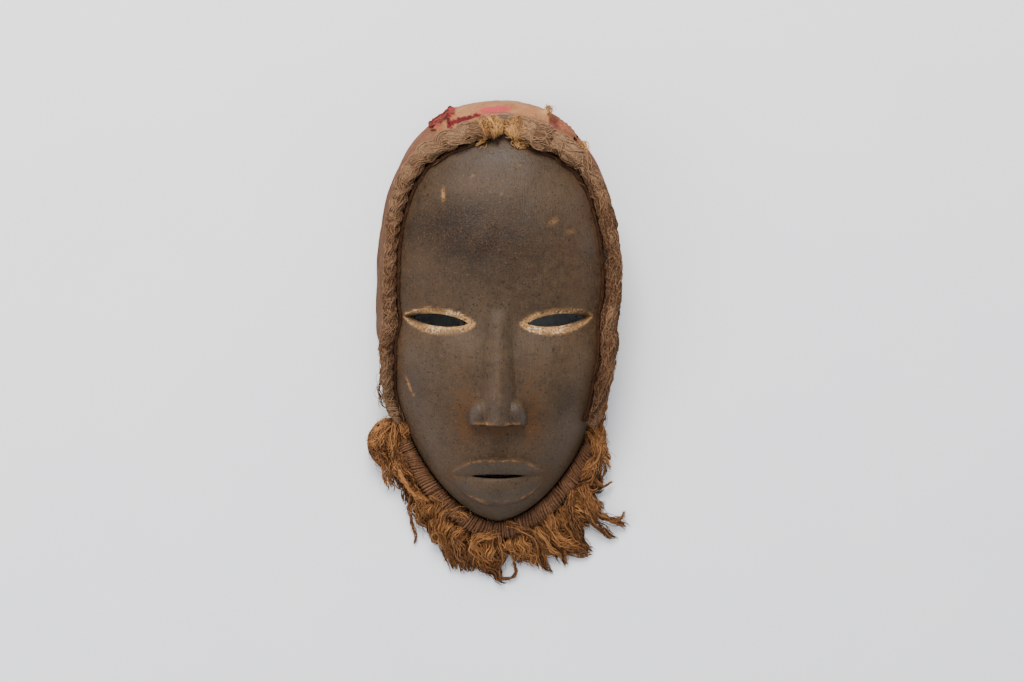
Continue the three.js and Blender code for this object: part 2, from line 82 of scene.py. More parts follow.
FLOOR_SIZE = 6
floor_mesh = bpy.data.meshes.new("floor")
half = FLOOR_SIZE / 2
floor_mesh.from_pydata(
    [(-half, -half, 0), (half, -half, 0), (half, half, 0), (-half, half, 0)], [], [(0, 1, 2, 3)])
floor = bpy.data.objects.new("floor", floor_mesh)
bpy.context.scene.collection.objects.link(floor)


def node(tree, kind, inputs=None, **settings):
    """A shader node with its settings, and its inputs as plain values or as links."""
    made = tree.nodes.new(kind)
    for name, value in settings.items():
        setattr(made, name, value)
    for name, value in (inputs or {}).items():
        if isinstance(value, bpy.types.NodeSocket):
            tree.links.new(value, made.inputs[name])
        else:
            made.inputs[name].default_value = value
    return made


def empty_material(name):
    """A material with one shader and its output, and nothing linked to the shader yet."""
    material = bpy.data.materials.new(name)
    material.use_nodes = True
    return material, material.node_tree, material.node_tree.nodes["Principled BSDF"]


def in_millimetres(tree):
    """The place on the object, in millimetres of its own frame."""
    place = node(tree, "ShaderNodeTexCoord").outputs["Object"]
    scaled = node(tree, "ShaderNodeVectorMath", {0: place, 1: (1000, 1000, 1000)}, operation="MULTIPLY")
    return scaled.outputs["Vector"]


def speckle(tree, place, size, low, high, detail=3):
    """A mask from 0 to 1 in soft spots of a size in millimetres, cut off between two levels."""
    cloud = node(tree, "ShaderNodeTexNoise", {"Vector": place, "Scale": 1 / size, "Detail": detail})
    mask = node(tree, "ShaderNodeMapRange",
                {"Value": cloud.outputs["Fac"], "From Min": low, "From Max": high})
    return mask.outputs["Result"]


def blended(tree, share, low, high):
    """One colour changing to another where the share, a mask, goes from 0 to 1."""
    mix = node(tree, "ShaderNodeMix", data_type="RGBA")
    for name, value in (("Factor_Float", share), ("A_Color", low), ("B_Color", high)):
        socket = next(each for each in mix.inputs if each.identifier == name)
        if isinstance(value, tuple):
            socket.default_value = (*value, 1)
        else:
            tree.links.new(value, socket)
    return next(each for each in mix.outputs if each.identifier == "Result_Color")


floor_material, tree, surface = empty_material("pale_floor")
surface.inputs["Roughness"].default_value = 0.9
tone = speckle(tree, in_millimetres(tree), 90, 0.3, 0.7)
floor_colour = blended(tree, tone, (0.91, 0.92, 0.935), (0.94, 0.95, 0.955))
tree.links.new(floor_colour, surface.inputs["Base Color"])
floor.data.materials.append(floor_material)


# The wood. The mask is carved from one block of light hardwood with an adze and knives: a shell
# about 9 mm thick, domed in front, hollow behind, and cut through at the eyes and the mouth. The
# sizes, in millimetres, are those of its solid, with the knife work, dents and soft edges added.
wood_low, wood_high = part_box("face_wood")
MIDDLE = ((wood_low + wood_high) / 2) * 1000
CROWN_Y = wood_high.y * 1000 - MIDDLE.y
CHIN_Y = -CROWN_Y
HALF_WIDTH = wood_high.x * 1000 - MIDDLE.x
WIDEST_Y = 13.5
CROWN_FULLNESS = 2.35
JAW_FALL = 2.15
JAW_DRAW = 0.6


class HeadLine:
    """A closed line round the head, clockwise from the crown. Turns from 0 to 1 run along it evenly."""

    def __init__(self, half_width, crown_y, chin_y):
        self.half_width, self.crown_y, self.chin_y = half_width, crown_y, chin_y
        self.steps = np.linspace(0, 1, 2401)
        points = self.at_step(self.steps)
        lengths = np.concatenate([[0], np.cumsum(np.linalg.norm(np.diff(points, axis=0), axis=1))])
        self.turns = lengths / lengths[-1]

    def at_step(self, step):
        """The point at a step: a superellipse over the crown, then the jaw drawn in to the chin."""
        step = np.mod(step, 1)
        side = np.where(step <= 0.5, 1, -1)
        fall = 4 * np.where(step <= 0.5, step, 1 - step)
        angle = np.clip(fall, 0, 1) * np.pi / 2
        drop = 1 - (2 - np.clip(fall, 1, 2)) ** 1.5
        over_crown = fall < 1
        across = np.where(over_crown, np.abs(np.sin(angle)) ** (2 / CROWN_FULLNESS),
                          np.maximum(0, 1 - drop ** JAW_FALL) ** JAW_DRAW)
        rise = np.abs(np.cos(angle)) ** (2 / CROWN_FULLNESS)
        y = np.where(over_crown, WIDEST_Y + (self.crown_y - WIDEST_Y) * rise,
                     WIDEST_Y + (self.chin_y - WIDEST_Y) * drop)
        return np.stack([side * self.half_width * across, y], axis=-1)

    def point(self, turn):
        return self.at_step(np.interp(np.mod(turn, 1), self.turns, self.steps))

    def along(self, turn):
        """The direction of the line, clockwise."""
        step = np.interp(np.mod(turn, 1), self.turns, self.steps)
        ahead = self.at_step(step + 1e-4) - self.at_step(step - 1e-4)
        return ahead / np.linalg.norm(ahead, axis=-1, keepdims=True)


WALL_HEIGHT = 14
WALL_LEAN = 3
CHIN_LEAN = 1.5
RIM_WIDTH = 9
CHIN_RIM_WIDTH = 11
foot_line = HeadLine(HALF_WIDTH, CROWN_Y, CHIN_Y)
edge_line = HeadLine(HALF_WIDTH - WALL_LEAN, CROWN_Y - WALL_LEAN, CHIN_Y + CHIN_LEAN)
hollow_line = HeadLine(HALF_WIDTH - RIM_WIDTH, CROWN_Y - RIM_WIDTH, CHIN_Y + CHIN_RIM_WIDTH)

FACE_MIDDLE_Y = 3.5


def share_of(line):
    """A function that says how far out a place lies, from the middle of the face (0) to a line (1)."""
    points = line.at_step(np.linspace(0, 1, 1441)[:-1])
    headings = np.mod(np.arctan2(points[:, 0], points[:, 1] - FACE_MIDDLE_Y), 2 * np.pi)
    radii = np.hypot(points[:, 0], points[:, 1] - FACE_MIDDLE_Y)
    order = np.argsort(headings)

    def share(x, y):
        heading = np.mod(np.arctan2(x, y - FACE_MIDDLE_Y), 2 * np.pi)
        radius = np.interp(heading, headings[order], radii[order], period=2 * np.pi)
        return np.clip(np.hypot(x, y - FACE_MIDDLE_Y) / radius, 0, 1)

    return share


to_edge = share_of(edge_line)
to_hollow = share_of(hollow_line)


def ease(value, low, high):
    """From 0 at the low end to 1 at the high end, smoothly."""
    share = np.clip((value - low) / (high - low), 0, 1)
    return share * share * (3 - 2 * share)


def mixed(low, high, share):
    return low + (high - low) * share


def spot(x, y, x0, y0, wide, tall):
    """A soft round spot, 1 in its middle."""
    return np.exp(-((x - x0) / wide) ** 2 - ((y - y0) / tall) ** 2)


# The lines of the face, by halving: the height from the plaits to the chin is halved at the eyes,
# the lower half at the base of the nose, and that quarter again at the mouth. The eyes are one
# eye's length apart, and the nose fills the space between them.
FACE_TOP_Y = 112.9
FACE_HEIGHT = FACE_TOP_Y - CHIN_Y
EYE_Y = CHIN_Y + FACE_HEIGHT / 2
NOSE_BASE_Y = CHIN_Y + FACE_HEIGHT / 4
MOUTH_Y = CHIN_Y + FACE_HEIGHT / 8
DOME_TOP = 58
DOME_FALL = 2.4
CROWN_ROUNDING = 2.2
JAW_ROUNDING = 1.5
CHEEKS_TOP_Y = -26.5
CHEEKS_BASE_Y = -76.5
EDGE_HOLD = 8

# The swellings of the face: how high each rises, and its middle, half width and half height
FOREHEAD_RISE = 6
FOREHEAD = (0, 55.5, 60, 57)
CHEEK_RISE = 3
CHEEK = (34, -38.5, 28, 34)
MUZZLE_RISE = 4
MUZZLE = (0, MOUTH_Y, 42, 28)
RECESS_DEPTH = 4.5
RECESS_HALF_HEIGHT = 14


def rounding_at(y):
    """How round the dome is: more over the crown than over the jaw."""
    return mixed(JAW_ROUNDING, CROWN_ROUNDING, ease(y, CHEEKS_BASE_Y, CHEEKS_TOP_Y))


def broad_form(x, y):
    """The height of the dome, with the forehead, the eye recess, the cheeks and the muzzle."""
    out = to_edge(x, y)
    dome = (1 - out ** DOME_FALL) ** (1 / rounding_at(y))
    forehead = FOREHEAD_RISE * spot(x, y, *FOREHEAD)
    beside_nose = mixed(0.35, 1, ease(np.abs(x), 4, 18))
    recess = RECESS_DEPTH * spot(0, y, 0, EYE_Y, 1, RECESS_HALF_HEIGHT) * beside_nose
    cheeks = CHEEK_RISE * spot(np.abs(x), y, *CHEEK)
    muzzle = MUZZLE_RISE * spot(x, y, *MUZZLE)
    swellings = (1 - out ** EDGE_HOLD) * (forehead - recess + cheeks + muzzle)
    return WALL_HEIGHT + (DOME_TOP - WALL_HEIGHT) * dome + swellings


EYE_LENGTH = 33
EYE_HEIGHT = 7
EYE_TILT = np.radians(7)
BEVEL_SIDE = 4.5
BEVEL_ABOVE = 3
BEVEL_BELOW = 4.4
BEVEL_DEPTH = 2.2
NOSE_ROOT_Y = 3
NOSE_HEIGHT = 15
NOSE_ROOT_HALF_WIDTH = 7
NOSE_HALF_WIDTH = 11.5
WING_HALF_WIDTH = 6.2
WING_X = EYE_LENGTH / 2 - WING_HALF_WIDTH
WING_HALF_LENGTH = 9.5
WING_HEIGHT = 9.5
WING_DROP = 5
NOSE_SOFTNESS = 1.2


def nose_height(x, y):
    """A wedge that rises from the brows to the tip, with a rounded wing on both sides, cut off flat."""
    down = np.clip((NOSE_ROOT_Y - y) / (NOSE_ROOT_Y - NOSE_BASE_Y), 0, 1)
    half_width = mixed(NOSE_ROOT_HALF_WIDTH, NOSE_HALF_WIDTH, down)
    top = NOSE_HEIGHT * mixed(0.15, 1, down ** 1.1) * ease(down, 0, 0.15)
    ridge = top * np.maximum(0, 1 - (x / half_width) ** 2) ** 1.1
    across = (np.abs(x) - WING_X) / WING_HALF_WIDTH
    along = (y - NOSE_BASE_Y - WING_DROP) / WING_HALF_LENGTH
    wing = WING_HEIGHT * np.sqrt(np.maximum(0, 1 - across ** 2 - along ** 2))
    joined = np.log(np.exp(ridge / NOSE_SOFTNESS) + np.exp(wing / NOSE_SOFTNESS) - 1) * NOSE_SOFTNESS
    return joined * ease(y, NOSE_BASE_Y - 0.9, NOSE_BASE_Y + 0.3)


LIP_HALF_WIDTH = 0.8 * EYE_LENGTH
UPPER_LIP = 9
LOWER_LIP = 16
LIP_PART = 1.5
LIP_HEIGHT = 7
BOW_DIP = 1.2
BOW_DIP_HALF_WIDTH = 5
MOUTH_LENGTH = 31
MOUTH_HEIGHT = 2.6


def lip_place(x, y):
    """How far down a lip a place is, from the mouth (0) to the lip's outer edge (1), and which lip."""
    aside = np.abs(x / LIP_HALF_WIDTH)
    dip = BOW_DIP * np.exp(-(x / BOW_DIP_HALF_WIDTH) ** 2)
    upper_edge = LIP_PART + UPPER_LIP * (1 - aside ** 2.4) - dip
    lower_edge = LIP_PART + LOWER_LIP * np.maximum(0, 1 - aside ** 2.2) ** 0.75
    is_upper = y > MOUTH_Y
    edge = np.where(is_upper, upper_edge, lower_edge)
    return np.abs(y - MOUTH_Y) / np.maximum(edge, 0.01), is_upper, edge


def lip_height(x, y):
    """The upper lip rises to a crisp ledge. The lower lip is full, with a softer edge."""
    down, is_upper, edge = lip_place(x, y)
    fullness = np.sqrt(np.maximum(0, 1 - (x / LIP_HALF_WIDTH) ** 2))
    fall = 0.9 / np.maximum(edge, 0.9)
    upper = mixed(2.6, LIP_HEIGHT, ease(down, -0.1, 0.96)) * (1 - ease(down, 0.96, 1 + 1.4 * fall))
    lower = np.interp(down, [0, 0.16, 0.42, 0.72, 0.93], [2.2, 5.2, LIP_HEIGHT, 6.3, 3.9])
    lower = lower * (1 - ease(down, 0.93, 1 + 1.6 * fall))
    return fullness * np.where(is_upper, upper, lower)


CROSSING_WAVES = 9


def hand_waves(x, y, size, seed):
    """Soft unevenness as of hand work, about -1 to 1, from a few crossing waves."""
    draw = np.random.default_rng(seed)
    headings = draw.uniform(0, np.pi, CROSSING_WAVES)
    phases = draw.uniform(0, 2 * np.pi, CROSSING_WAVES)
    lengths = draw.uniform(0.7, 1.5, CROSSING_WAVES) * size
    total = np.zeros_like(np.asarray(x, float) + np.asarray(y, float))
    for heading, phase, length in zip(headings, phases, lengths):
        total += np.sin((x * np.cos(heading) + y * np.sin(heading)) * 2 * np.pi / length + phase)
    return total / np.sqrt(2 * CROSSING_WAVES)


# Dents of use in the front: place, half width, half length, lean to the right, depth, and how much of
# the raw wood shows in them
DENTS = [
    (-30.6, 65.6, 0.9, 3.6, -0.08, 0.7, 1), (0, 95.2, 0.9, 0.9, 0, 1.3, 0),
    (31, 50.3, 1.4, 3.4, 1.1, 0.35, 0.35), (41, 45, 1.2, 2.8, 1.3, 0.3, 0.3),
    (-50.6, -41.2, 0.7, 4.6, -0.36, 0.8, 0.8), (-47.8, -47, 0.7, 0.9, 0.3, 0.4, 0.6),
    (22, 40, 0.6, 1.6, 0.2, 0.4, 0), (-22, 30, 0.6, 1.4, -0.5, 0.4, 0),
    (-8, 18, 0.7, 2.2, 0.1, 0.4, 0), (35, -22, 0.7, 2.0, 0.4, 0.5, 0),
    (-27, -62, 0.6, 1.5, 0.1, 0.4, 0), (48, -30, 0.6, 1.8, -0.3, 0.4, 0),
    (12, 82, 0.8, 1.8, 1.2, 0.4, 0.2), (2, 66, 0.6, 1.3, 0.4, 0.3, 0.3),
    (-14, 76, 0.7, 1.6, 0.9, 0.3, 0.35)]
PEG_DENT = 1


def dent_masks(x, y):
    """The share of every dent at a place, one row for each."""
    rows = []
    for x0, y0, half_width, half_length, lean, _, _ in DENTS:
        along = (y - y0) * np.cos(lean) + (x - x0) * np.sin(lean)
        across = (x - x0) * np.cos(lean) - (y - y0) * np.sin(lean)
        rows.append(np.exp(-((across / half_width) ** 2 + (along / half_length) ** 2) ** 1.5))
    return np.array(rows)


def front_height(x, y):
    """The whole front of the wood."""
    settled = ease(1 - to_edge(x, y), 0, 0.06)
    knife_work = (0.28 * hand_waves(x, y, 26, 3) + 0.09 * hand_waves(x, y, 9, 4)
                  + 0.03 * hand_waves(x, y, 3.5, 5))
    dents = sum(row * dent[-2] for row, dent in zip(dent_masks(x, y), DENTS))
    features = np.maximum(nose_height(x, y), lip_height(x, y))
    return broad_form(x, y) + features + settled * knife_work - dents


HOLLOW_TOP = 49
HOLLOW_FALL = 2.6
BEHIND_FOREHEAD_RISE = 3.6
GOUGE_WIDTH = 11
GOUGE_LENGTH = 1.6 * GOUGE_WIDTH
GOUGE_DEPTH = 0.7


def gouge_marks(x, y):
    """The shallow scoops that the adze left in the hollow, each longer than it is wide."""
    draw = np.random.default_rng(8)
    rows, columns = np.meshgrid(np.arange(-12, 13), np.arange(-8, 9), indexing="ij")
    centres_x = (columns + draw.uniform(-0.35, 0.35, columns.shape)) * GOUGE_WIDTH
    centres_y = (rows + draw.uniform(-0.35, 0.35, rows.shape)) * GOUGE_LENGTH
    distance = np.hypot((x[..., None] - centres_x.ravel()) / GOUGE_WIDTH,
                        (y[..., None] - centres_y.ravel()) / GOUGE_LENGTH)
    return GOUGE_DEPTH * (1 - np.minimum(1, 1.8 * distance.min(axis=-1)) ** 2)


def hollow_height(x, y):
    out = to_hollow(x, y)
    dome = HOLLOW_TOP * (1 - out ** HOLLOW_FALL) ** (1 / CROWN_ROUNDING)
    behind_forehead = BEHIND_FOREHEAD_RISE * spot(x, y, *FOREHEAD)
    return dome + (1 - out ** EDGE_HOLD) * (behind_forehead + gouge_marks(x, y))


def spread(count, density):
    """Values from 0 to 1, closer together where the density is higher."""
    fine = np.linspace(0, 1, 4001)
    sums = np.concatenate([[0], np.cumsum(density((fine[1:] + fine[:-1]) / 2))])
    return np.interp(np.linspace(0, 1, count + 1), sums / sums[-1], fine)


def lofted(rings):
    """Points and faces of a closed body through rings of one even length, its ends closed by strips."""
    count, ring = rings.shape[:2]
    start = np.arange(count - 1)[:, None] * ring
    j = np.arange(ring)
    following = (j + 1) % ring
    sides = np.stack([start + j, start + following, start + ring + following, start + ring + j], axis=-1)
    low = np.arange(ring // 2 - 1)
    strips = np.stack([low, low + 1, ring - 2 - low, ring - 1 - low], axis=-1)
    last = (count - 1) * ring
    return rings.reshape(-1, 3), np.concatenate([sides.reshape(-1, 4), last + strips, strips[:, ::-1]])


def new_piece(name, points, faces):
    """A mesh object of the mask from points in millimetres about the middle of the wood."""
    mesh = bpy.data.meshes.new(name)
    placed = (np.asarray(points, float) + [MIDDLE.x, MIDDLE.y, 0]) / 1000
    mesh.vertices.add(len(placed))
    mesh.vertices.foreach_set("co", placed.astype(np.float32).ravel())
    mesh.loops.add(faces.size)
    mesh.loops.foreach_set("vertex_index", faces.astype(np.int32).ravel())
    mesh.polygons.add(len(faces))
    mesh.polygons.foreach_set("loop_start", np.arange(0, faces.size, 4, dtype=np.int32))
    mesh.update(calc_edges=True)
    mesh.shade_smooth()
    piece = bpy.data.objects.new(name, mesh)
    bpy.context.scene.collection.objects.link(piece)
    return piece


def points_of(piece):
    """The piece's points, in millimetres about the middle of the wood."""
    points = np.empty(len(piece.data.vertices) * 3, np.float32)
    piece.data.vertices.foreach_get("co", points)
    return points.reshape(-1, 3).astype(float) * 1000 - [MIDDLE.x, MIDDLE.y, 0]


def store(piece, name, values):
    """Keeps a number for every point of the piece, for its material to read."""
    made = piece.data.attributes.new(name, "FLOAT", "POINT")
    made.data.foreach_set("value", np.asarray(values, np.float32))


def dome_rings(line, rows, columns, height, feet):
    """Rings across the face, each over the dome from left to right and back along its foot."""
    side = line.point(rows / 2)
    x = side[:, :1] * (2 * columns - 1)
    y = np.repeat(side[:, 1:], len(columns), axis=1)
    top = np.stack([x, y, height(x, y)], axis=-1)
    return np.concatenate([top[:, ::-1], feet(rows)], axis=1)


def front_feet(rows):
    """The left wall going down to the foot, and the right wall coming up again."""
    edge, foot = edge_line.point(rows / 2), foot_line.point(rows / 2)
    levels = [0.67, 0.33, 0]
    sides = {1: [], -1: []}
    for level in levels:
        place = mixed(foot, edge, level)
        for side in sides:
            height = np.full(len(rows), WALL_HEIGHT * level)
            sides[side].append(np.stack([side * place[:, 0], place[:, 1], height], axis=-1))
    return np.stack(sides[-1] + sides[1][::-1], axis=1)


BELOW_RIM = -2.0


def hollow_feet(rows):
    """The two edges of the hollow, a little below the rim so that it cuts right through."""
    below_rim = np.full(len(rows), BELOW_RIM)
    side = hollow_line.point(rows / 2)
    return np.stack([np.stack([sign * side[:, 0], side[:, 1], below_rim], axis=-1)
                     for sign in (-1, 1)], axis=1)


FIRST_ROW = 0.004


def rows_over(count, density):
    return mixed(FIRST_ROW, 1 - FIRST_ROW, spread(count, density))


def columns_over(count, crowding):
    return spread(count, lambda across: 1 + crowding / (1.02 - np.abs(2 * across - 1)))


block_rows = rows_over(262, lambda fall: 1 + 0.9 * ease(fall, 0.5, 0.62))
block = new_piece("carved_wood", *lofted(dome_rings(
    edge_line, block_rows, columns_over(171, 0.06), front_height, front_feet)))
hollow = new_piece("hollow_cutter", *lofted(dome_rings(
    hollow_line, rows_over(110, np.ones_like), columns_over(63, 0.1), hollow_height, hollow_feet)))


def pointed_oval(length, above, below, count):
    """The outline of an eye or a mouth."""
    angle = np.arange(count) / count * 2 * np.pi
    bulge = (1 - np.cos(angle) ** 2) ** 0.8
    return np.stack([np.cos(angle) * length / 2, bulge * np.where(angle < np.pi, above, -below)], axis=-1)


def eye_cutter(side):
    """A slit right through, opening out to a bevel at the surface."""
    turn = side * EYE_TILT
    rotation = np.array([[np.cos(turn), np.sin(turn)], [-np.sin(turn), np.cos(turn)]])
    centre = (side * EYE_LENGTH, EYE_Y)
    slit = pointed_oval(EYE_LENGTH, EYE_HEIGHT / 2, EYE_HEIGHT / 2, 56) @ rotation + centre
    brim = pointed_oval(EYE_LENGTH + 2 * BEVEL_SIDE, EYE_HEIGHT / 2 + BEVEL_ABOVE,
                        EYE_HEIGHT / 2 + BEVEL_BELOW, 56) @ rotation + centre
    surface = broad_form(brim[:, 0], brim[:, 1])
    beyond = mixed(slit, brim, 2)
    rings = [np.column_stack([slit, np.full(len(slit), BELOW_RIM)]),
             np.column_stack([slit, surface - BEVEL_DEPTH]),
             np.column_stack([beyond, surface + BEVEL_DEPTH])]
    return new_piece("eye_cutter", *lofted(np.array(rings)))


def mouth_cutter():
    slit = pointed_oval(MOUTH_LENGTH, MOUTH_HEIGHT / 2, MOUTH_HEIGHT / 2, 40) + [0, MOUTH_Y]
    rings = [np.column_stack([slit, np.full(len(slit), z)]) for z in (BELOW_RIM, DOME_TOP + LIP_HEIGHT)]
    return new_piece("mouth_cutter", *lofted(np.array(rings)))


NOSTRIL_X = 0.72 * WING_X
NOSTRIL_HALF_SIZE = (3.1, 3.4, 3.2)
NOSTRIL_RISE = 5.2


def nostril_cutter(side):
    """A small knife scoop in the flat base of the nose."""
    wide, deep, tall = NOSTRIL_HALF_SIZE
    middle_z = broad_form(8.0, NOSE_BASE_Y) + NOSTRIL_RISE
    angle = np.arange(16) / 16 * 2 * np.pi
    rings = []
    for fall in np.linspace(0.06, 0.94, 9) * np.pi:
        across = side * NOSTRIL_X + wide * np.sin(fall) * np.cos(angle)
        up = NOSE_BASE_Y - 0.4 + deep * np.sin(fall) * np.sin(angle)
        rings.append(np.column_stack([across, up, np.full(16, middle_z - tall * np.cos(fall))]))
    return new_piece("nostril_cutter", *lofted(np.array(rings)))


def carve(piece, cutters):
    """Cuts the cutters out of the piece, and takes them away."""
    tools = bpy.data.collections.new("cutters")
    for cutter in cutters:
        tools.objects.link(cutter)
    cut = piece.modifiers.new("cut", "BOOLEAN")
    cut.operation = "DIFFERENCE"
    cut.operand_type = "COLLECTION"
    cut.collection = tools
    cut.solver = "MANIFOLD"
    bpy.context.view_layer.objects.active = piece
    bpy.ops.object.modifier_apply(modifier=cut.name)
    for cutter in cutters:
        bpy.data.objects.remove(cutter)
    bpy.data.collections.remove(tools)


SHARP_FROM = np.radians(38)
carve(block, [hollow, eye_cutter(-1), eye_cutter(1), mouth_cutter(), nostril_cutter(-1), nostril_cutter(1)])
block.data.shade_smooth()
block.data.set_sharp_from_angle(angle=SHARP_FROM)


def eye_share(x, y):
    """How far out from the slit (0) to the brim of the bevel (1) a place by the eyes is."""
    side = np.sign(x)
    from_eye_x, from_eye_y = x - side * EYE_LENGTH, y - EYE_Y
    turn = side * EYE_TILT
    along = from_eye_x * np.cos(turn) + from_eye_y * np.sin(turn)
    up = from_eye_y * np.cos(turn) - from_eye_x * np.sin(turn)
    furthest = 2.0
    best = np.full_like(along, furthest)
    for share in np.linspace(furthest, 0, 41):
        half_length = EYE_LENGTH / 2 + share * BEVEL_SIDE
        above, below = EYE_HEIGHT / 2 + share * BEVEL_ABOVE, EYE_HEIGHT / 2 + share * BEVEL_BELOW
        bulge = np.maximum(0, 1 - (along / half_length) ** 2) ** 0.8
        inside = (np.abs(along) < half_length) & (np.abs(up) < bulge * np.where(up > 0, above, below))
        best = np.where(inside, share, best)
    return best


x, y, z = points_of(block).T
proud = z - broad_form(x, y)
in_front = ease(proud, -3.5, -2.2)
from_eye = eye_share(x, y)
lip_down, is_upper, _ = lip_place(x, y)
on_lips = np.abs(x) < LIP_HALF_WIDTH
nose = nose_height(x, y)

# Where the patina is worn through: at the lips' ledges, the nose and the brims of the eyes
lip_ledge = on_lips * np.exp(-((lip_down - np.where(is_upper, 0.95, 0.9)) / 0.07) ** 2)
nose_edge = ease(nose, 2.5, 6) * np.exp(-((y - NOSE_BASE_Y - 0.7) / 1.0) ** 2)
ridge_line = ease(nose, 8, 13) * np.exp(-(x / 3.2) ** 2)
brim_edge = np.exp(-((from_eye - 1.1) / 0.12) ** 2)
worn = 0.8 * lip_ledge + nose_edge + 0.25 * ridge_line + 0.5 * brim_edge

# Where red dust has settled: beside and under the nose, in the mouth's corners and by the plaits
beside_nose = spot(np.abs(x), y, 19, NOSE_BASE_Y + 6, 7, 22) * (1 - ease(nose, 0.5, 4))
under_nose = spot(x, y, 0, NOSE_BASE_Y - 4, 17, 5)
mouth_corners = spot(np.abs(x), y, LIP_HALF_WIDTH, MOUTH_Y, 6, 6)
by_plaits = ease(to_edge(x, y), 0.78, 0.92) * ease(y, -70, -20)
temples = spot(np.abs(x), y, 44, 10, 14, 40)
grime = beside_nose + under_nose + 0.8 * mouth_corners + by_plaits + 0.35 * temples

# Darker places, and polished places whose colour also carries a painted grey sheen, each with its middle,
# half width, half height and strength
DARK_PLACES = [
    (-6, 38, 62, 22, 0.5), (-30, 52, 26, 14, 0.5), (-14, 43, 34, 19, 0.5), (20, 22, 40, 16, 0.2),
    (-30, 76, 10, 9, 0.3), (22, 84, 12, 8, 0.3), (-47, -44, 8, 14, 0.5), (41, -50, 10, 10, 0.5),
    (0, -112, 30, 8, 0.3), (0, -58, 26, 4, 0.5)]
POLISHED_SHEEN_PLACES = [
    (2, 92, 30, 13, 0.9), (54, 50, 8, 40, 0.8), (0, MOUTH_Y + 6, 20, 4, 0.6), (-48, -20, 10, 40, 0.5)]
on_wings = ease(nose, 3, 7) * spot(np.abs(x), y, 12, NOSE_BASE_Y + 8, 8, 9)
darker_zones, polish_and_sheen = (sum(strength * spot(x, y, *place) for *place, strength in places)
                for places in (DARK_PLACES, POLISHED_SHEEN_PLACES))
dents = dent_masks(x, y)
for name, mask in (("worn", worn), ("grime", grime), ("darker_zones", darker_zones), ("peg", dents[PEG_DENT]),
                   ("polished_and_sheen", polish_and_sheen + 0.9 * ridge_line + 0.7 * on_wings),
                   ("bare", sum(row * dent[-1] for row, dent in zip(dents, DENTS)))):
    store(block, name, np.clip(mask, 0, 1) * in_front)
store(block, "pigment", (1 - ease(from_eye, 0.9, 1.15)) * ease(proud, -5.0, -3.6))
store(block, "inside", 1 - in_front)


def kept(tree, name):
    """A number that was stored for every point."""
    return node(tree, "ShaderNodeAttribute", attribute_name=name).outputs["Fac"]


def calculated(tree, operation, *numbers, clamp=True):
    """A sum of numbers or masks."""
    made = node(tree, "ShaderNodeMath", dict(enumerate(numbers)), operation=operation, use_clamp=clamp)
    return made.outputs["Value"]


def times(tree, first, second):
    return calculated(tree, "MULTIPLY", first, second)


def plus(tree, first, second):
    return calculated(tree, "ADD", first, second)


def group_sockets(name, inputs, outputs):
    """A new shader group with its named inputs and outputs, each a kind and a starting value."""
    group = bpy.data.node_groups.new(name, "ShaderNodeTree")
    for label, (kind, start) in inputs.items():
        socket = group.interface.new_socket(label, in_out="INPUT", socket_type=kind)
        socket.default_value = start
    for label, kind in outputs.items():
        group.interface.new_socket(label, in_out="OUTPUT", socket_type=kind)
    return group, node(group, "NodeGroupInput").outputs, node(group, "NodeGroupOutput")


# Dust that has settled on a surface: a mask in soft patches broken up by fine specks
dust_group, given, result = group_sockets(
    "settled_dust", {"Place": ("NodeSocketVector", (0, 0, 0)), "Amount": ("NodeSocketFloat", 0.5)},
    {"Mask": "NodeSocketFloat"})
patches = speckle(dust_group, given["Place"], 14, 0.35, 0.7)
specks = speckle(dust_group, given["Place"], 0.9, 0.38, 0.66)
broken = times(dust_group, calculated(dust_group, "MULTIPLY_ADD", patches, 0.6, 0.25), specks)
dust_group.links.new(times(dust_group, broken, given["Amount"]), result.inputs["Mask"])


def with_group(tree, group, **inputs):
    """The outputs of a shader group, placed in a material with its own values."""
    placed = node(tree, "ShaderNodeGroup")
    placed.node_tree = group
    for name, value in inputs.items():
        socket = placed.inputs[name.replace("_", " ")]
        if isinstance(value, bpy.types.NodeSocket):
            tree.links.new(value, socket)
        else:
            socket.default_value = value
    return placed.outputs


def stretched(tree, place, scale):
    """The place, squeezed along each axis."""
    return node(tree, "ShaderNodeVectorMath", {0: place, 1: scale}, operation="MULTIPLY").outputs["Vector"]


def finish_piece(piece, material, solid):
    """Gives a piece its finish, and lets it stand for its solid and ride on the mask."""
    piece.data.materials.clear()
    piece.data.materials.append(material)
    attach(piece, "root")
    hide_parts(solid)


dark_patina, tree, surface = empty_material("dark_patina")
place = in_millimetres(tree)
cloudy = speckle(tree, place, 26, 0.36, 0.64, detail=5)
mottled = speckle(tree, place, 4, 0.38, 0.66, detail=6)
grain = speckle(tree, stretched(tree, place, (1, 0.06, 1)), 0.8, 0.3, 0.7)
darker_patches = times(tree, kept(tree, "darker_zones"), plus(tree, cloudy, 0.55))
# The polished places are also painted a paler grey in the colour: a painted sheen, the reflection of the
# surround. Their lower roughness is real polish.
painted_sheen = times(tree, kept(tree, "polished_and_sheen"), speckle(tree, place, 12, 0.3, 0.66, detail=5))
red_dust = with_group(tree, dust_group, Place=place, Amount=2.4)["Mask"]
grimy = times(tree, kept(tree, "grime"), plus(tree, mottled, 0.35))
pale_specks = speckle(tree, place, 1.1, 0.62, 0.7)
dark_specks = speckle(tree, place, 1.4, 0.6, 0.68)
rubbed_through = times(tree, speckle(tree, place, 2.2, 0.36, 0.56), speckle(tree, place, 9, 0.4, 0.6))
worn_edges = times(tree, kept(tree, "worn"), rubbed_through)
bare_dents = times(tree, kept(tree, "bare"), speckle(tree, place, 1.2, 0.36, 0.5))
colour = blended(tree, cloudy, (0.0385, 0.0248, 0.0142), (0.074, 0.0486, 0.029))
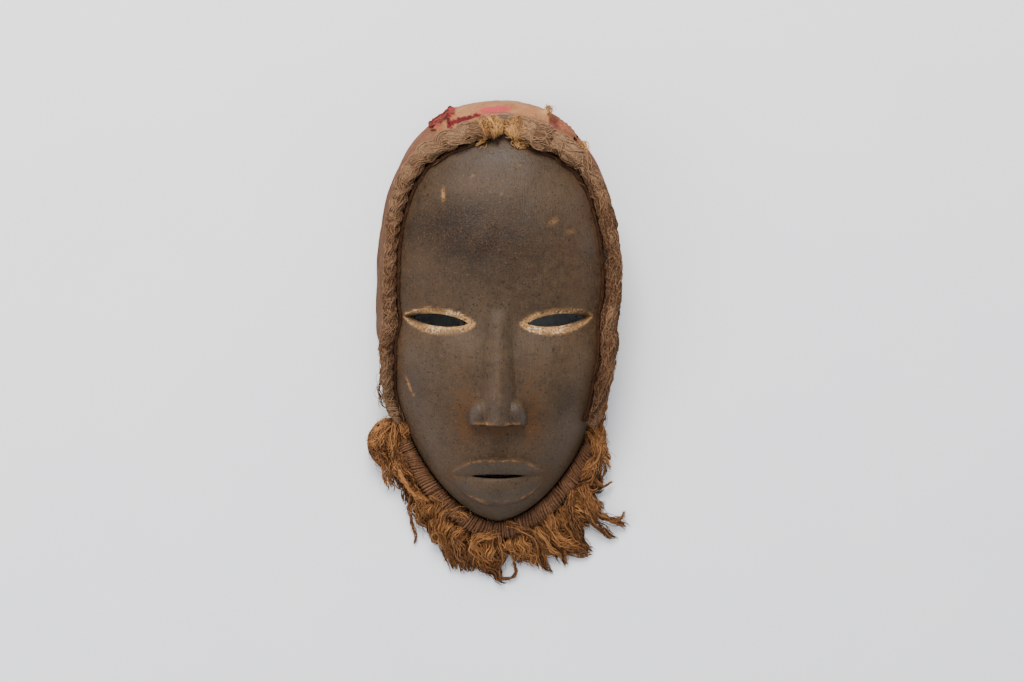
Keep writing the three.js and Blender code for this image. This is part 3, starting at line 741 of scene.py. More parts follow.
for mask, strength, tint in (
        (mottled, 0.6, (0.084, 0.0555, 0.0305)), (grain, 0.35, (0.014, 0.0085, 0.005)),
        (darker_patches, 0.88, (0.005, 0.003, 0.0015)), (painted_sheen, 0.6, (0.062, 0.052, 0.047)),
        (red_dust, 0.34, (0.092, 0.044, 0.019)), (grimy, 0.6, (0.088, 0.036, 0.012)),
        (pale_specks, 0.35, (0.16, 0.095, 0.045)), (dark_specks, 0.6, (0.006, 0.004, 0.003)),
        (worn_edges, 0.8, (0.3, 0.14, 0.045)), (bare_dents, 1, (0.34, 0.16, 0.05)),
        (kept(tree, "peg"), 1, (0.06, 0.006, 0.004))):
    colour = blended(tree, times(tree, mask, strength), colour, tint)
flecks = times(tree, speckle(tree, place, 1.3, 0.5, 0.6), speckle(tree, place, 11, 0.42, 0.56))
chalk = blended(tree, flecks, (0.37, 0.2, 0.075), (0.62, 0.46, 0.28))
chalk = blended(tree, speckle(tree, place, 0.9, 0.48, 0.62), chalk, (0.16, 0.075, 0.028))
chalky = times(tree, kept(tree, "pigment"), speckle(tree, place, 2.6, 0.28, 0.42))
colour = blended(tree, chalky, colour, chalk)
raw_wood = blended(tree, grain, (0.12, 0.066, 0.034), (0.07, 0.038, 0.02))
raw_wood = blended(tree, cloudy, raw_wood, (0.06, 0.034, 0.019))
tree.links.new(blended(tree, kept(tree, "inside"), colour, raw_wood), surface.inputs["Base Color"])
surface.inputs["Specular IOR Level"].default_value = 0.165
matt = calculated(tree, "MULTIPLY_ADD", grimy, 0.3, 0.46)
matt = calculated(tree, "SUBTRACT", matt, times(tree, kept(tree, "polished_and_sheen"), 0.13))
matt = plus(tree, matt, times(tree, mottled, 0.14))
matt = plus(tree, matt, times(tree, kept(tree, "inside"), 0.25))
tree.links.new(matt, surface.inputs["Roughness"])
fine = node(tree, "ShaderNodeBump", {
    "Height": calculated(tree, "ADD", grain, speckle(tree, place, 0.7, 0.3, 0.7), clamp=False),
    "Strength": 0.25, "Distance": 0.0004})
tree.links.new(fine.outputs["Normal"], surface.inputs["Normal"])
finish_piece(block, dark_patina, "face_wood")


# The cloth band. A strip of red cotton, stained brown by dust and handling, is wrapped tight round
# the outside of the upper rim and tucked in under the plaits. It creases along its length.
RISE_STEP = 0.02
SLOPE_STEP = 1.2
TOWARDS_EDGE = 0.9


def unit(vectors):
    return vectors / np.maximum(np.linalg.norm(vectors, axis=-1, keepdims=True), 1e-9)


def skin(turn, reach):
    """The outside of the wood at turns round the rim and reaches up from its foot: first up the wall,
    then over the dome. Gives the places and the directions out of the wood."""
    turn, reach = (np.array(a, float) for a in np.broadcast_arrays(turn, reach))
    shape = turn.shape
    turn, reach = turn.ravel(), reach.ravel()
    edge, foot, along = edge_line.point(turn), foot_line.point(turn), edge_line.along(turn)
    rounding = rounding_at(mixed(FACE_MIDDLE_Y, edge[:, 1], TOWARDS_EDGE))
    rise = np.arange(0, 1, RISE_STEP)
    share = (1 - rise ** rounding[:, None]) ** (1 / DOME_FALL)
    x = edge[:, :1] * share
    y = mixed(FACE_MIDDLE_Y, edge[:, 1:], share)
    path = np.concatenate([np.pad(foot, ((0, 0), (0, 1)))[:, None],
                           np.stack([x, y, broad_form(x, y)], axis=-1)], axis=1)
    lengths = np.concatenate([np.zeros((len(turn), 1)),
                              np.cumsum(np.linalg.norm(np.diff(path, axis=1), axis=2), axis=1)], axis=1)
    row = np.arange(len(turn))

    def on_path(far):
        i = np.clip((lengths < far[:, None]).sum(axis=1) - 1, 0, path.shape[1] - 2)
        share = (far - lengths[row, i]) / (lengths[row, i + 1] - lengths[row, i])
        return mixed(path[row, i], path[row, i + 1], share[:, None])

    up = unit(on_path(reach + SLOPE_STEP) - on_path(np.maximum(reach - SLOPE_STEP, 0)))
    outward = unit(np.cross(up, np.pad(along, ((0, 0), (0, 1)))))
    return on_path(reach).reshape(*shape, 3), outward.reshape(*shape, 3)


def fall_of(turn):
    """How far down from the crown (0) to the chin (1) a turn has come."""
    return 1 - np.abs(1 - 2 * np.mod(turn, 1))


def between(*stations):
    """Smooth values between a few stations down the rim, each a place and a value."""
    places, values = np.array(stations, float).T

    def value(place):
        i = np.clip(np.searchsorted(places, place) - 1, 0, len(places) - 2)
        return mixed(values[i], values[i + 1], ease(place, places[i], places[i + 1]))

    return value


# The plaits, from turn to turn round the rim. How high up the wood they run, how broad and deep they
# are and how long one round of plaiting is all change with the fall from the crown.
GAP = 0.6
PLAIT_END = 0.715
NOTCH_TURN = 0.007
NOTCH_HALF = 0.0025
TIE_TURN = 0.024
SEAM = 0.001
LEFT_PLAIT = {
    "from": -PLAIT_END / 2, "to": NOTCH_TURN - NOTCH_HALF - TIE_TURN - SEAM, "lift": GAP,
    "reach": between((0, 50), (0.08, 51.5), (0.13, 49), (0.19, 44.2), (0.25, 43),
                     (0.42, 42.5), (0.52, 39.5), (0.6, 34.5), (0.7, 17.5)),
    "breadth": between((0, 14.5), (0.2, 13.5), (0.4, 9.5), (0.6, 10), (0.7, 8)),
    "depth": between((0, 9.5), (0.2, 9), (0.4, 6.5), (0.6, 8), (0.7, 7)),
    "cycle": between((0, 44), (0.2, 36), (0.3, 25), (0.45, 22))}
RIGHT_PLAIT = {
    "from": NOTCH_TURN + NOTCH_HALF + TIE_TURN + SEAM, "to": PLAIT_END / 2, "lift": GAP,
    "reach": between((0, 50), (0.09, 50.5), (0.15, 46.5), (0.21, 42),
                     (0.26, 39.5), (0.45, 36.5), (0.64, 35.5), (0.74, 27.5)),
    "breadth": between((0, 15.5), (0.1, 17.5), (0.15, 14.5), (0.25, 11.5),
                       (0.45, 10.8), (0.6, 12), (0.74, 10.5)),
    "depth": between((0, 9.5), (0.2, 9.5), (0.45, 9.5), (0.6, 8.5), (0.74, 8)),
    "cycle": between((0, 46), (0.3, 70))}


def tucked_under(turn, share):
    """The reach of the cloth's upper edge, hidden under the plait."""
    fall = fall_of(turn)
    left = LEFT_PLAIT["reach"](fall) - share * LEFT_PLAIT["breadth"](fall)
    right = RIGHT_PLAIT["reach"](fall) - share * RIGHT_PLAIT["breadth"](fall)
    return np.where(turn < 0, left, right)


CLOTH_THICKNESS = 0.7


def laid_cloth(name, turns, lower, upper, lift, creases):
    """A closed sheet of cloth on the wood, which keeps how far each point is along it and up it."""
    columns = turns.shape[1]
    reach = mixed(lower[:, None], upper[:, None], np.linspace(0, 1, columns))
    place, outward = skin(turns, reach)
    proud = lift + creases(turns, reach)
    outer = place + outward * (proud + CLOTH_THICKNESS)[..., None]
    inner = place + outward * proud[..., None]
    piece = new_piece(name, *lofted(np.concatenate([outer, inner[:, ::-1]], axis=1)))
    lengths = np.concatenate([[0], np.cumsum(np.linalg.norm(np.diff(place[:, 0], axis=0), axis=1))])
    store(piece, "along", np.repeat(lengths, 2 * columns))
    store(piece, "up", np.concatenate([reach, reach[:, ::-1]], axis=1).ravel())
    return piece


# About how long one turn round the rim is, for creases and tears in millimetres
RIM_LENGTH = 640


def band_creases(turn, reach):
    """Long creases, shallow under the patch, and a doubled place on the left. Both ends lie flat."""
    along = turn * RIM_LENGTH
    folds = 0.5 + 0.5 * np.sin(reach * 0.62 + 1.6 * hand_waves(along, 0, 70, 21))
    soft = 0.3 * hand_waves(along, reach * 2.5, 30, 22) + 0.1 * hand_waves(along, reach * 2, 9, 23)
    creases = np.clip(0.75 * folds ** 3 + soft, -0.3, 1.3)
    under_patch = ease(turn, -0.07, -0.06) * ease(-turn, -0.08, -0.07)
    doubled = 1.6 * np.exp(-((turn + 0.275) / 0.026) ** 2)
    flat_end = ease(np.abs(turn), 0.27, 0.3)
    return (creases * (1 - 0.8 * under_patch) + doubled) * (1 - flat_end) - 0.5 * flat_end


TEAR_WIDTH = 0.006


def torn_back(rows, strips, tear, seed):
    """The turns of every point of a cloth whose two ends are torn raggedly, by about a given part of
    a turn."""
    level = np.linspace(0, 34, strips + 1)
    torn = tear * (np.abs(hand_waves(level, 0, 7, seed)) + 0.4 * np.abs(hand_waves(level, 0, 2.3, seed + 1)))
    share = np.linspace(0, 1, len(rows))[:, None]
    reach_in = TEAR_WIDTH / (rows[-1] - rows[0])
    return rows[:, None] + np.exp(-share / reach_in) * torn - np.exp(-(1 - share) / reach_in) * torn[::-1]


BAND_END = 0.31
band_rows = np.linspace(-BAND_END, BAND_END, 301)
band_lower = 1.9 + 0.9 * hand_waves(band_rows * RIM_LENGTH, 0, 24, 24)
cloth_band = laid_cloth("cloth_band_cloth", torn_back(band_rows, strips=25, tear=0.004, seed=47), band_lower,
                        tucked_under(band_rows, 0.46), lift=0.75, creases=band_creases)

# The red shows near the crown and goes down into brown
x, y, z = points_of(cloth_band).T
store(cloth_band, "handled", 1 - ease(y, 62, 108) * np.where(x < 0, 0.8, 1))

# Woven cotton: threads over and under each other, half a millimetre apart
weave_group, given, result = group_sockets(
    "cotton_weave", {"Along": ("NodeSocketFloat", 0), "Up": ("NodeSocketFloat", 0),
                     "Spacing": ("NodeSocketFloat", 0.5)}, {"Height": "NodeSocketFloat"})
waves = []
for label in ("Along", "Up"):
    threads = calculated(weave_group, "DIVIDE", given[label], given["Spacing"], clamp=False)
    angle = calculated(weave_group, "MULTIPLY", threads, 2 * np.pi, clamp=False)
    waves.append(calculated(weave_group, "SINE", angle, clamp=False))
crossed = calculated(weave_group, "MULTIPLY", *waves, clamp=False)
height = calculated(weave_group, "MULTIPLY_ADD", crossed, 0.5, 0.5)
weave_group.links.new(height, result.inputs["Height"])


def on_cloth(tree, scale):
    """Places on a cloth, counted along and up it and squeezed."""
    place = node(tree, "ShaderNodeCombineXYZ", {"X": kept(tree, "along"), "Y": kept(tree, "up")})
    return stretched(tree, place.outputs["Vector"], scale)


def cotton(name, colour_from, spacing):
    """A woven cotton whose colour is made by a function of its tree and of places on it."""
    material, tree, surface = empty_material(name)
    place = in_millimetres(tree)
    weave = with_group(tree, weave_group, Along=kept(tree, "along"), Up=kept(tree, "up"),
                       Spacing=spacing)["Height"]
    colour = colour_from(tree, place)
    shaded = blended(tree, times(tree, weave, 0.28), colour, (0.03, 0.015, 0.01))
    tree.links.new(shaded, surface.inputs["Base Color"])
    surface.inputs["Roughness"].default_value = 0.92
    surface.inputs["Specular IOR Level"].default_value = 0.2
    slubs = speckle(tree, place, 1.6, 0.3, 0.7)
    raised = calculated(tree, "ADD", weave, slubs, clamp=False)
    bump = node(tree, "ShaderNodeBump", {"Height": raised, "Strength": 0.5, "Distance": 0.0003})
    tree.links.new(bump.outputs["Normal"], surface.inputs["Normal"])
    return material


def stained_red(tree, place):
    worn_off = speckle(tree, place, 16, 0.32, 0.66)
    colour = blended(tree, worn_off, (0.22, 0.06, 0.028), (0.3, 0.115, 0.06))
    dirt = with_group(tree, dust_group, Place=place, Amount=2.4)["Mask"]
    colour = blended(tree, times(tree, dirt, 0.6), colour, (0.1, 0.05, 0.025))
    patchy = plus(tree, speckle(tree, place, 5, 0.3, 0.7), 0.6)
    stained = times(tree, calculated(tree, "MULTIPLY_ADD", kept(tree, "handled"), 0.85, 0.1), patchy)
    streaks = speckle(tree, on_cloth(tree, (0.1, 1, 1)), 1.8, 0.32, 0.68, detail=5)
    brown = blended(tree, streaks, (0.135, 0.067, 0.032), (0.092, 0.043, 0.02))
    return blended(tree, stained, colour, brown)


red_cotton = cotton("stained_red_cotton", stained_red, spacing=0.55)
finish_piece(cloth_band, red_cotton, "cloth_band")


# The crown patch. A second strip of the same cotton, faded to tan, is folded over the crown on top of
# the band. Both its ends are torn, and the crimson of the cloth shows there and at a worn place.
PATCH_FROM = -0.07
PATCH_TO = 0.084


def patch_creases(turn, reach):
    """A long fold, a ridge and a rolled edge at the torn left end, a knot on the right and soft lumps."""
    along = turn * RIM_LENGTH
    fold = 1.1 * np.exp(-((reach - 29 - 1.5 * hand_waves(along, 0, 40, 31)) / 2.6) ** 2)
    roll_place = reach - 9 - 2 * hand_waves(along, 0, 9, 35)
    rolled = 1.7 * np.exp(-(roll_place / 2.4) ** 2) * ease(-turn, 0.03, 0.045)
    knotted = 2.8 * np.exp(-((along - 30) / 2.1) ** 2 - ((reach - 24) / 2.6) ** 2)
    ridge = (1.6 + 0.6 * hand_waves(along, reach, 4, 42)) * np.exp(-((along + 28 + 0.09 * reach) / 1.9) ** 2)
    lumps = 0.3 * hand_waves(along, reach * 1.6, 22, 32) + 0.16 * hand_waves(along, reach, 6, 33)
    torn_ends = np.clip(ease(-turn, 0.03, 0.05) + ease(turn, 0.05, 0.06), 0, 1)
    tatters = 0.5 * hand_waves(along, reach, 2.6, 36) * torn_ends
    sunk = 0.6 * (1 - np.exp(-(along / 17) ** 2))
    return np.maximum(fold + rolled + knotted + ridge + lumps + tatters, -0.3) - sunk


patch_rows = np.linspace(PATCH_FROM, PATCH_TO, 171)
patch_share = np.linspace(0, 1, len(patch_rows))
patch_along = patch_rows * RIM_LENGTH
torn = 3.5 * np.exp(-patch_share / 0.06) + 4.0 * np.exp(-(1 - patch_share) / 0.05)
ragged = hand_waves(patch_along, 0, 5, 34) + 0.5 * hand_waves(patch_along, 0, 2, 39)
frayed = 0.8 * np.maximum(ragged, 0) * (ease(-patch_rows, 0.015, 0.03) + ease(patch_rows, 0.045, 0.06))
crown_patch = laid_cloth(
    "crown_patch_cloth", torn_back(patch_rows, strips=32, tear=0.0075, seed=37),
    3.2 + torn * (1 + 0.5 * ragged) + frayed, tucked_under(patch_rows, 0.5) - 0.5 * torn,
    lift=2.3, creases=patch_creases)

# Where the colours of the cloth lie, in millimetres about the middle of the wood, with ragged edges
x, y, z = points_of(crown_patch).T
up = np.empty(len(x))
crown_patch.data.attributes["up"].data.foreach_get("value", up)
ragged = 0.8 * hand_waves(x, y, 3.4, 40) + 0.3 * hand_waves(x, y, 1.5, 41)
rolled_edge = ease(-x, 25, 26.5) * ease(18.5 + 2.6 * ragged - up, 0, 1.5)
left_end = ease(-x, 24, 25.5) * ease(y - 104.5 - 0.6 * (x + 38.3) + 0.9 * ragged, 0, 0.8)
left_end = np.maximum(left_end, 0.45 * ease(-x, 30, 33))
ridge = ease(1.5 + 1.2 * ragged - np.abs(x + 27.3 - 0.6 * np.sin(0.5 * y)), 0, 0.6) * ease(up, 8, 12)
torn_tip = ease(x, 28.5, 29.5) * mixed(1, 0.55, ease(x, 34, 36)) * ease(y + 0.75 * (x - 29), 107, 108)
# A dark crimson band along the lower edge of the patch's left end is painted shade under the edge of the
# cloth.
from_start = x + 26.1
underside_line = 107.7 + 0.37 * from_start - 0.005 * from_start ** 2
inside_line = 2.1 - 0.05 * (x + 26) + 0.6 * ragged - np.abs(y - underside_line)
shaded_underside = ease(x, -29.5, -28.5) * ease(-x, 8, 11) * ease(inside_line, 0, 0.5)
from_worn = np.hypot((x + 1.9) / 10.8, (y - 115.4 - 0.12 * (x + 1.9)) / 2.9)
from_lining = np.hypot((x - 4.5) / 8.5, (y - 110.6) / 2.4)
# Further right, a thin dark line along the patch's lower edge is a painted shadow. It shares one mask with
# the dark lining spot.
edge_shadow_line = 112.8 - 0.15 * (x - 9.7) - 0.006 * (x - 9.7) ** 2
edge_shadow = ease(x, -9, -6) * ease(0.6 - np.abs(y - edge_shadow_line), 0, 0.3)
lining_and_shadow = ease(1 + 0.2 * ragged - from_lining, 0, 0.3) + 0.7 * edge_shadow
for name, mask in (("crimson", rolled_edge + left_end + ridge + 0.85 * torn_tip), ("lining_and_shadow", lining_and_shadow),
                   ("pink", ease(1 + 0.2 * ragged - from_worn, 0, 0.25)), ("shaded_underside", shaded_underside),
                   ("straw", spot(x, y, 27.3, 116.4, 3, 3.4) * ease(up, 19, 23))):
    store(crown_patch, name, np.clip(mask, 0, 1))


def faded_tan(tree, place):
    colour = blended(tree, speckle(tree, place, 9, 0.3, 0.7), (0.36, 0.144, 0.056), (0.48, 0.214, 0.088))
    dirt = with_group(tree, dust_group, Place=place, Amount=1.6)["Mask"]
    colour = blended(tree, dirt, colour, (0.24, 0.105, 0.045))
    threadbare = speckle(tree, place, 1.4, 0.3, 0.5)
    rose = blended(tree, threadbare, (0.34, 0.06, 0.04), (0.5, 0.05, 0.06))
    rubbed = plus(tree, speckle(tree, place, 1.1, 0.3, 0.55), 0.25)
    colour = blended(tree, times(tree, kept(tree, "pink"), rubbed), colour, rose)
    streaks = speckle(tree, on_cloth(tree, (0.3, 1, 1)), 2.2, 0.45, 0.62)
    crimson = blended(tree, streaks, (0.075, 0.006, 0.006), (0.34, 0.045, 0.032))
    colour = blended(tree, times(tree, kept(tree, "crimson"), plus(tree, rubbed, 0.3)), colour, crimson)
    colour = blended(tree, kept(tree, "lining_and_shadow"), colour, (0.1, 0.07, 0.055))
    colour = blended(tree, kept(tree, "straw"), colour, (0.56, 0.31, 0.12))
    # The underside band is the crimson painted much darker, as painted shade.
    shaded_crimson = blended(tree, speckle(tree, place, 1.3, 0.35, 0.6), (0.05, 0.003, 0.005), (0.17, 0.008, 0.014))
    return blended(tree, kept(tree, "shaded_underside"), colour, shaded_crimson)


tan_cotton = cotton("faded_tan_cotton", faded_tan, spacing=0.6)
finish_piece(crown_patch, tan_cotton, "crown_patch")


# The plaits. Each is three bundles of soft brown plant fibre, plaited flat and laid along the edge of
# the face over the cloth. The left one is fine and even, the right one thick, loose and matted.
def rope_course(rope, count):
    """Even stations along a rope that lies on the wood: centres, directions, sizes and lengths."""
    turn = np.linspace(rope["from"], rope["to"], count)
    fall = fall_of(turn)
    place, outward = skin(turn, rope["reach"](fall))
    depth, breadth = rope["depth"](fall), rope["breadth"](fall)
    centre = place + outward * (depth / 2 + rope["lift"])[:, None]
    ahead = unit(np.gradient(centre, axis=0))
    up = unit(outward - (outward * ahead).sum(axis=1, keepdims=True) * ahead)
    lengths = np.concatenate([[0], np.cumsum(np.linalg.norm(np.diff(centre, axis=0), axis=1))])
    return {"centre": centre, "ahead": ahead, "up": up, "across": np.cross(ahead, up),
            "breadth": breadth, "depth": depth, "length": lengths}


def beside_course(course, across, up):
    """Places beside a course, (lines, stations), at distances across it and up from it."""
    return course["centre"] + course["across"] * across[..., None] + course["up"] * up[..., None]


def round_rings(lines, radii, sides=4):
    """Rings round many lines at once. lines is (count, steps, 3) and radii is (count, steps)."""
    ahead = unit(np.gradient(lines, axis=1))
    across = np.empty_like(lines)
    current = np.where(np.abs(ahead[:, 0, 2:]) < 0.8, [[0.0, 0, 1]], [[1.0, 0, 0]])
    for step in range(lines.shape[1]):
        current = unit(current - (current * ahead[:, step]).sum(axis=1, keepdims=True) * ahead[:, step])
        across[:, step] = current
    up = np.cross(ahead, across)
    angle = np.arange(sides)[:, None] / sides * 2 * np.pi
    return lines[:, :, None] + radii[:, :, None, None] * (
        np.cos(angle) * across[:, :, None] + np.sin(angle) * up[:, :, None])


def closed_tubes(rings):
    """Faces of closed tubes through their rings, (count, steps, sides, 3)."""
    count, steps, sides = rings.shape[:3]
    j = np.arange(sides)
    following = (j + 1) % sides
    ring = (np.arange(count)[:, None] * steps + np.arange(steps - 1))[..., None] * sides
    walls = np.stack([ring + j, ring + following, ring + sides + following, ring + sides + j], axis=-1)
    cap = np.array([[0, k, k + 1, k + 2] for k in range(1, sides - 2, 2)])
    first = (np.arange(count) * steps * sides)[:, None, None]
    last = first + (steps - 1) * sides
    return np.concatenate([each.reshape(-1, 4) for each in (walls, last + cap, first + cap[:, ::-1])])


def fibre_piece(name, batches, draw):
    """One mesh of many fibres, each with a tone of its own, from 1 for the lightest down to -1, deep in where
    no dust can reach. A batch is its rings and how dark it is, as one number or for every step of every
    fibre: partly the fibres' own tone, partly painted shade deep in and low down."""
    points, faces, tones, start = [], [], [], 0
    for rings, darkness in batches:
        count, steps, sides = rings.shape[:3]
        points.append(rings.reshape(-1, 3))
        faces.append(closed_tubes(rings) + start)
        tone = np.clip(draw.random((count, 1)) - darkness, -1, 1) * np.ones((count, steps))
        tones.append(np.repeat(tone.ravel(), sides))
        start += count * steps * sides
    piece = new_piece(name, np.concatenate(points), np.concatenate(faces))
    store(piece, "tone", np.concatenate(tones))
    return piece


def wander(draw, count, steps, knots, size):
    """Smooth random drift for many lines, (count, steps), that changes at a number of knots."""
    values = draw.normal(0, 1.4 * size, (count, knots + 3))
    place = np.linspace(0, knots, steps)
    i = np.minimum(place.astype(int), knots - 1)
    t = place - i
    weights = [(1 - t) ** 3 / 6, (3 * t ** 3 - 6 * t ** 2 + 4) / 6,
               (-3 * t ** 3 + 3 * t ** 2 + 3 * t + 1) / 6, t ** 3 / 6]
    return sum(weight * values[:, i + k] for k, weight in enumerate(weights))


FIBRE_TIP = 0.35


def tapered(count, steps, radius):
    """Radii of fibres, thinner at both ends."""
    share = np.linspace(0, 1, steps)
    full = mixed(FIBRE_TIP, 1, ease(np.minimum(share, 1 - share), 0, 0.08))
    return np.ones((count, 1)) * full * radius


def fuzz(draw, course, count, length, radius, lift):
    """Short loose hairs that stand off a course."""
    station = draw.integers(2, len(course["length"]) - 2, count)
    angle = draw.uniform(-0.15, 1.15, count) * np.pi
    out = (np.cos(angle)[:, None] * course["across"][station] * (course["breadth"][station] / 2)[:, None]
           + np.sin(angle)[:, None] * course["up"][station] * (course["depth"][station] / 2)[:, None])
    start = course["centre"][station] + out * 0.85
    side = unit(np.cross(course["ahead"][station], out))
    ahead = course["ahead"][station] * draw.choice([-1, 1], (count, 1))
    heading = unit(ahead + side * draw.normal(0, 0.8, (count, 1)))
    steps = 6
    share = np.linspace(0, 1, steps)[:, None]
    size = draw.uniform(0.4, 1, (count, 1, 1)) * length
    rise = draw.uniform(0.1, lift, (count, 1, 1))
    lines = (start[:, None] + heading[:, None] * share * size
             + unit(out)[:, None] * (rise * size * np.sin(share * 2.2) * 0.5))
    lines += np.stack([wander(draw, count, steps, 3, 0.25) for _ in range(3)], axis=-1) * share
    return round_rings(lines, tapered(count, steps, radius)), 0


def on_course(course, station, beside, above):
    """Places beside and above a course, at places between its stations."""
    whole = np.arange(len(course["length"]))
    centre, across, up = (np.stack([np.interp(station, whole, column) for column in course[key].T], axis=-1)
                          for key in ("centre", "across", "up"))
    return centre + across * beside[..., None] + up * above[..., None]


def core_rings(course, half, deep, beside=0.0, above=0.0):
    """The rings of a solid oval core along a course."""
    angle = np.arange(14)[:, None] / 14 * 2 * np.pi
    rings = beside_course(course, beside + half * np.cos(angle), above + deep * np.sin(angle))
    return rings.transpose(1, 0, 2)[None]


def felted(draw, course, count, length, radius, lean, out, dark):
    """Short fibres matted over the upper side of a course. The lean says how far they lie across it."""
    steps = 7
    share = np.linspace(-0.5, 0.5, steps)
    last = len(course["length"]) - 1
    size = draw.uniform(0.4, 1, (count, 1)) * length
    middle = draw.uniform(0, last, (count, 1))
    heading = draw.normal(0, lean, (count, 1))
    station = np.clip(middle + np.cos(heading) * size * share * last / course["length"][-1], 0, last)
    whole = np.arange(last + 1)
    half = np.interp(station, whole, course["breadth"] / 2)
    deep = np.interp(station, whole, course["depth"] / 2)
    round_by = np.sin(heading) * size * share / np.maximum(half, deep)
    angle = draw.uniform(-0.2, 1.2, (count, 1)) * np.pi + round_by + wander(draw, count, steps, 3, 0.1)
    rise = out + 0.07 * draw.random((count, 1)) + wander(draw, count, steps, 3, 0.035)
    lines = on_course(course, station, half * rise * np.cos(angle), deep * rise * np.sin(angle))
    return round_rings(lines, tapered(count, steps, radius) * draw.uniform(0.6, 1.3, (count, 1))), dark


def wound(draw, course, places, yarns, radius, slant):
    """Bundles of yarn wound round the upper side of a course, at places between its stations. Each
    bundle has its own tone and slant."""
    steps = 12
    batches = []
    last = len(course["length"]) - 1
    per_length = last / course["length"][-1]
    whole = np.arange(last + 1)
    for place in places:
        angle = np.linspace(-0.25, 1.25, steps) * np.pi + draw.normal(0, 0.15, (yarns, 1))
        leaning = (slant + draw.normal(0, 2.6)) * (angle / np.pi - 0.5)
        leaning += draw.normal(0, 1.2, (yarns, 1)) * np.cos(angle)
        beside = draw.normal(0, 0.8, (yarns, 1)) + wander(draw, yarns, steps, 5, 0.6)
        station = np.clip(place + (leaning + beside) * per_length, 0, last)
        half = np.interp(station, whole, course["breadth"] / 2)
        deep = np.interp(station, whole, course["depth"] / 2)
        out = 0.96 + 0.16 * np.exp(-(beside / 0.9) ** 2) + wander(draw, yarns, steps, 5, 0.04)
        lines = on_course(course, station, half * out * np.cos(angle), deep * out * np.sin(angle))
        batches.append((round_rings(lines, tapered(yarns, steps, radius)), draw.uniform(-0.3, 0.6)))
    return batches


BUNDLES = 3

# Fibre of the plait that fills the corner between it and the face, painted very dark as the shade in that
# corner
CORNER_SIZE = between((0, 2.7), (1, 2.7))
CORNER_LIFT = -0.6


def plaited(name, rope, over, steps, packed, fibres, fibre_radius, looseness, hairs, bound, seed):
    """A flat plait of three bundles of fibres over solid cores. It reaches over both its ends, in under
    the lashing and the bunch. Packed says how much of its breadth one bundle takes up. On top of each
    bundle the fibres slant outward, as they do where bundles cross. Bound says at which of its steps
    yarn is wound round it."""
    draw = np.random.default_rng(seed)
    reaching = {**rope, "from": rope["from"] + over[0], "to": rope["to"] + over[1]}
    course = rope_course(reaching, steps)
    fall = fall_of(np.linspace(reaching["from"], reaching["to"], steps))
    for size in ("breadth", "depth"):
        course[size] = course[size] * mixed(0.5, 1, ease(fall.max() - fall, 0, 0.025))
    bundle_half = packed * course["breadth"]
    bundle_deep = 0.31 * course["depth"]
    swing_across = course["breadth"] / 2 - bundle_half
    swing_up = course["depth"] / 2 - bundle_deep
    cycle = rope["cycle"](fall)
    turned = 2 * np.pi * np.cumsum(np.gradient(course["length"]) / cycle)
    batches = []
    for bundle in range(BUNDLES):
        phase = turned + 2 * np.pi * bundle / BUNDLES + wander(draw, 1, steps, 14, 0.22 * looseness)[0]
        middle_across = swing_across * np.sin(phase)
        middle_up = swing_up * np.sin(2 * phase)
        core = core_rings(course, 0.9 * bundle_half, 0.9 * bundle_deep, middle_across, middle_up)
        # The core is painted dark: painted shade between the fibres.
        batches.append((core, 0.5))
        share_round = (np.arange(fibres) + draw.uniform(-0.4, 0.4, fibres)) / fibres
        angle = (np.pi * (1.9 * share_round[:, None] - 0.45) - 0.85 * np.sin(phase)
                 + wander(draw, fibres, steps, 75, 0.3 * looseness))
        out = draw.uniform(0.86, 1.02, (fibres, 1)) + wander(draw, fibres, steps, 90, 0.07 * looseness)
        across = middle_across + bundle_half * out * np.cos(angle)
        up = middle_up + bundle_deep * out * np.sin(angle)
        radii = tapered(fibres, steps, fibre_radius) * draw.uniform(0.7, 1.3, (fibres, 1))
        # Fibres low in the plait, in the creases between bundles and at its edges, are painted darker:
        # painted shade.
        sunk = 0.65 * (1 - ease(up / course["depth"], -0.05, 0.4))
        batches.append((round_rings(beside_course(course, across, up), radii), bundle * 0.1 - 0.12 + sunk))
    corner = rope_course({**reaching, "lift": CORNER_LIFT, "breadth": CORNER_SIZE, "depth": CORNER_SIZE,
                          "reach": lambda fall: rope["reach"](fall) + 0.42 * rope["breadth"](fall)}, steps)
    batches += [
        felted(draw, course, int(190 * looseness), length=8, radius=0.2, lean=0.85, out=0.9, dark=0.15),
        # The corner's core and fibres are painted very dark: painted shade in the crevice against the face.
        (core_rings(corner, 0.3 * corner["breadth"], 0.3 * corner["depth"]), 1.7),
        felted(draw, corner, 170, length=8, radius=0.22, lean=0.45, out=0.8, dark=1.3),
        felted(draw, course, 14, length=34, radius=0.17, lean=0.25, out=0.98, dark=-0.6),
        fuzz(draw, course, hairs, length=4.5, radius=0.1, lift=0.45),
        *wound(draw, course, bound, yarns=9, radius=0.24, slant=1)]
    return fibre_piece(name, batches, draw)


def fibre(name, dark, light, dusty, stained=0.45):
    """Plant fibre: every strand has its own tone, and dust and stains lie over them all."""
    material, tree, surface = empty_material(name)
    place = in_millimetres(tree)
    tone = kept(tree, "tone")
    colour = blended(tree, tone, dark, light)
    colour = blended(tree, times(tree, speckle(tree, place, 8, 0.32, 0.68), stained), colour, dark)
    dust = with_group(tree, dust_group, Place=place, Amount=2.0)["Mask"]
    dust = plus(tree, times(tree, dust, 0.6), times(tree, kept(tree, "dusty"), 0.36))
    outside = calculated(tree, "MULTIPLY_ADD", tone, 1.3, 1)
    colour = blended(tree, times(tree, dust, outside), colour, dusty)
    tree.links.new(colour, surface.inputs["Base Color"])
    surface.inputs["Roughness"].default_value = 0.9
    surface.inputs["Specular IOR Level"].default_value = 0.15
    bump = node(tree, "ShaderNodeBump", {
        "Height": speckle(tree, place, 0.35, 0.3, 0.7), "Strength": 0.4, "Distance": 0.0002})
    tree.links.new(bump.outputs["Normal"], surface.inputs["Normal"])
    return material


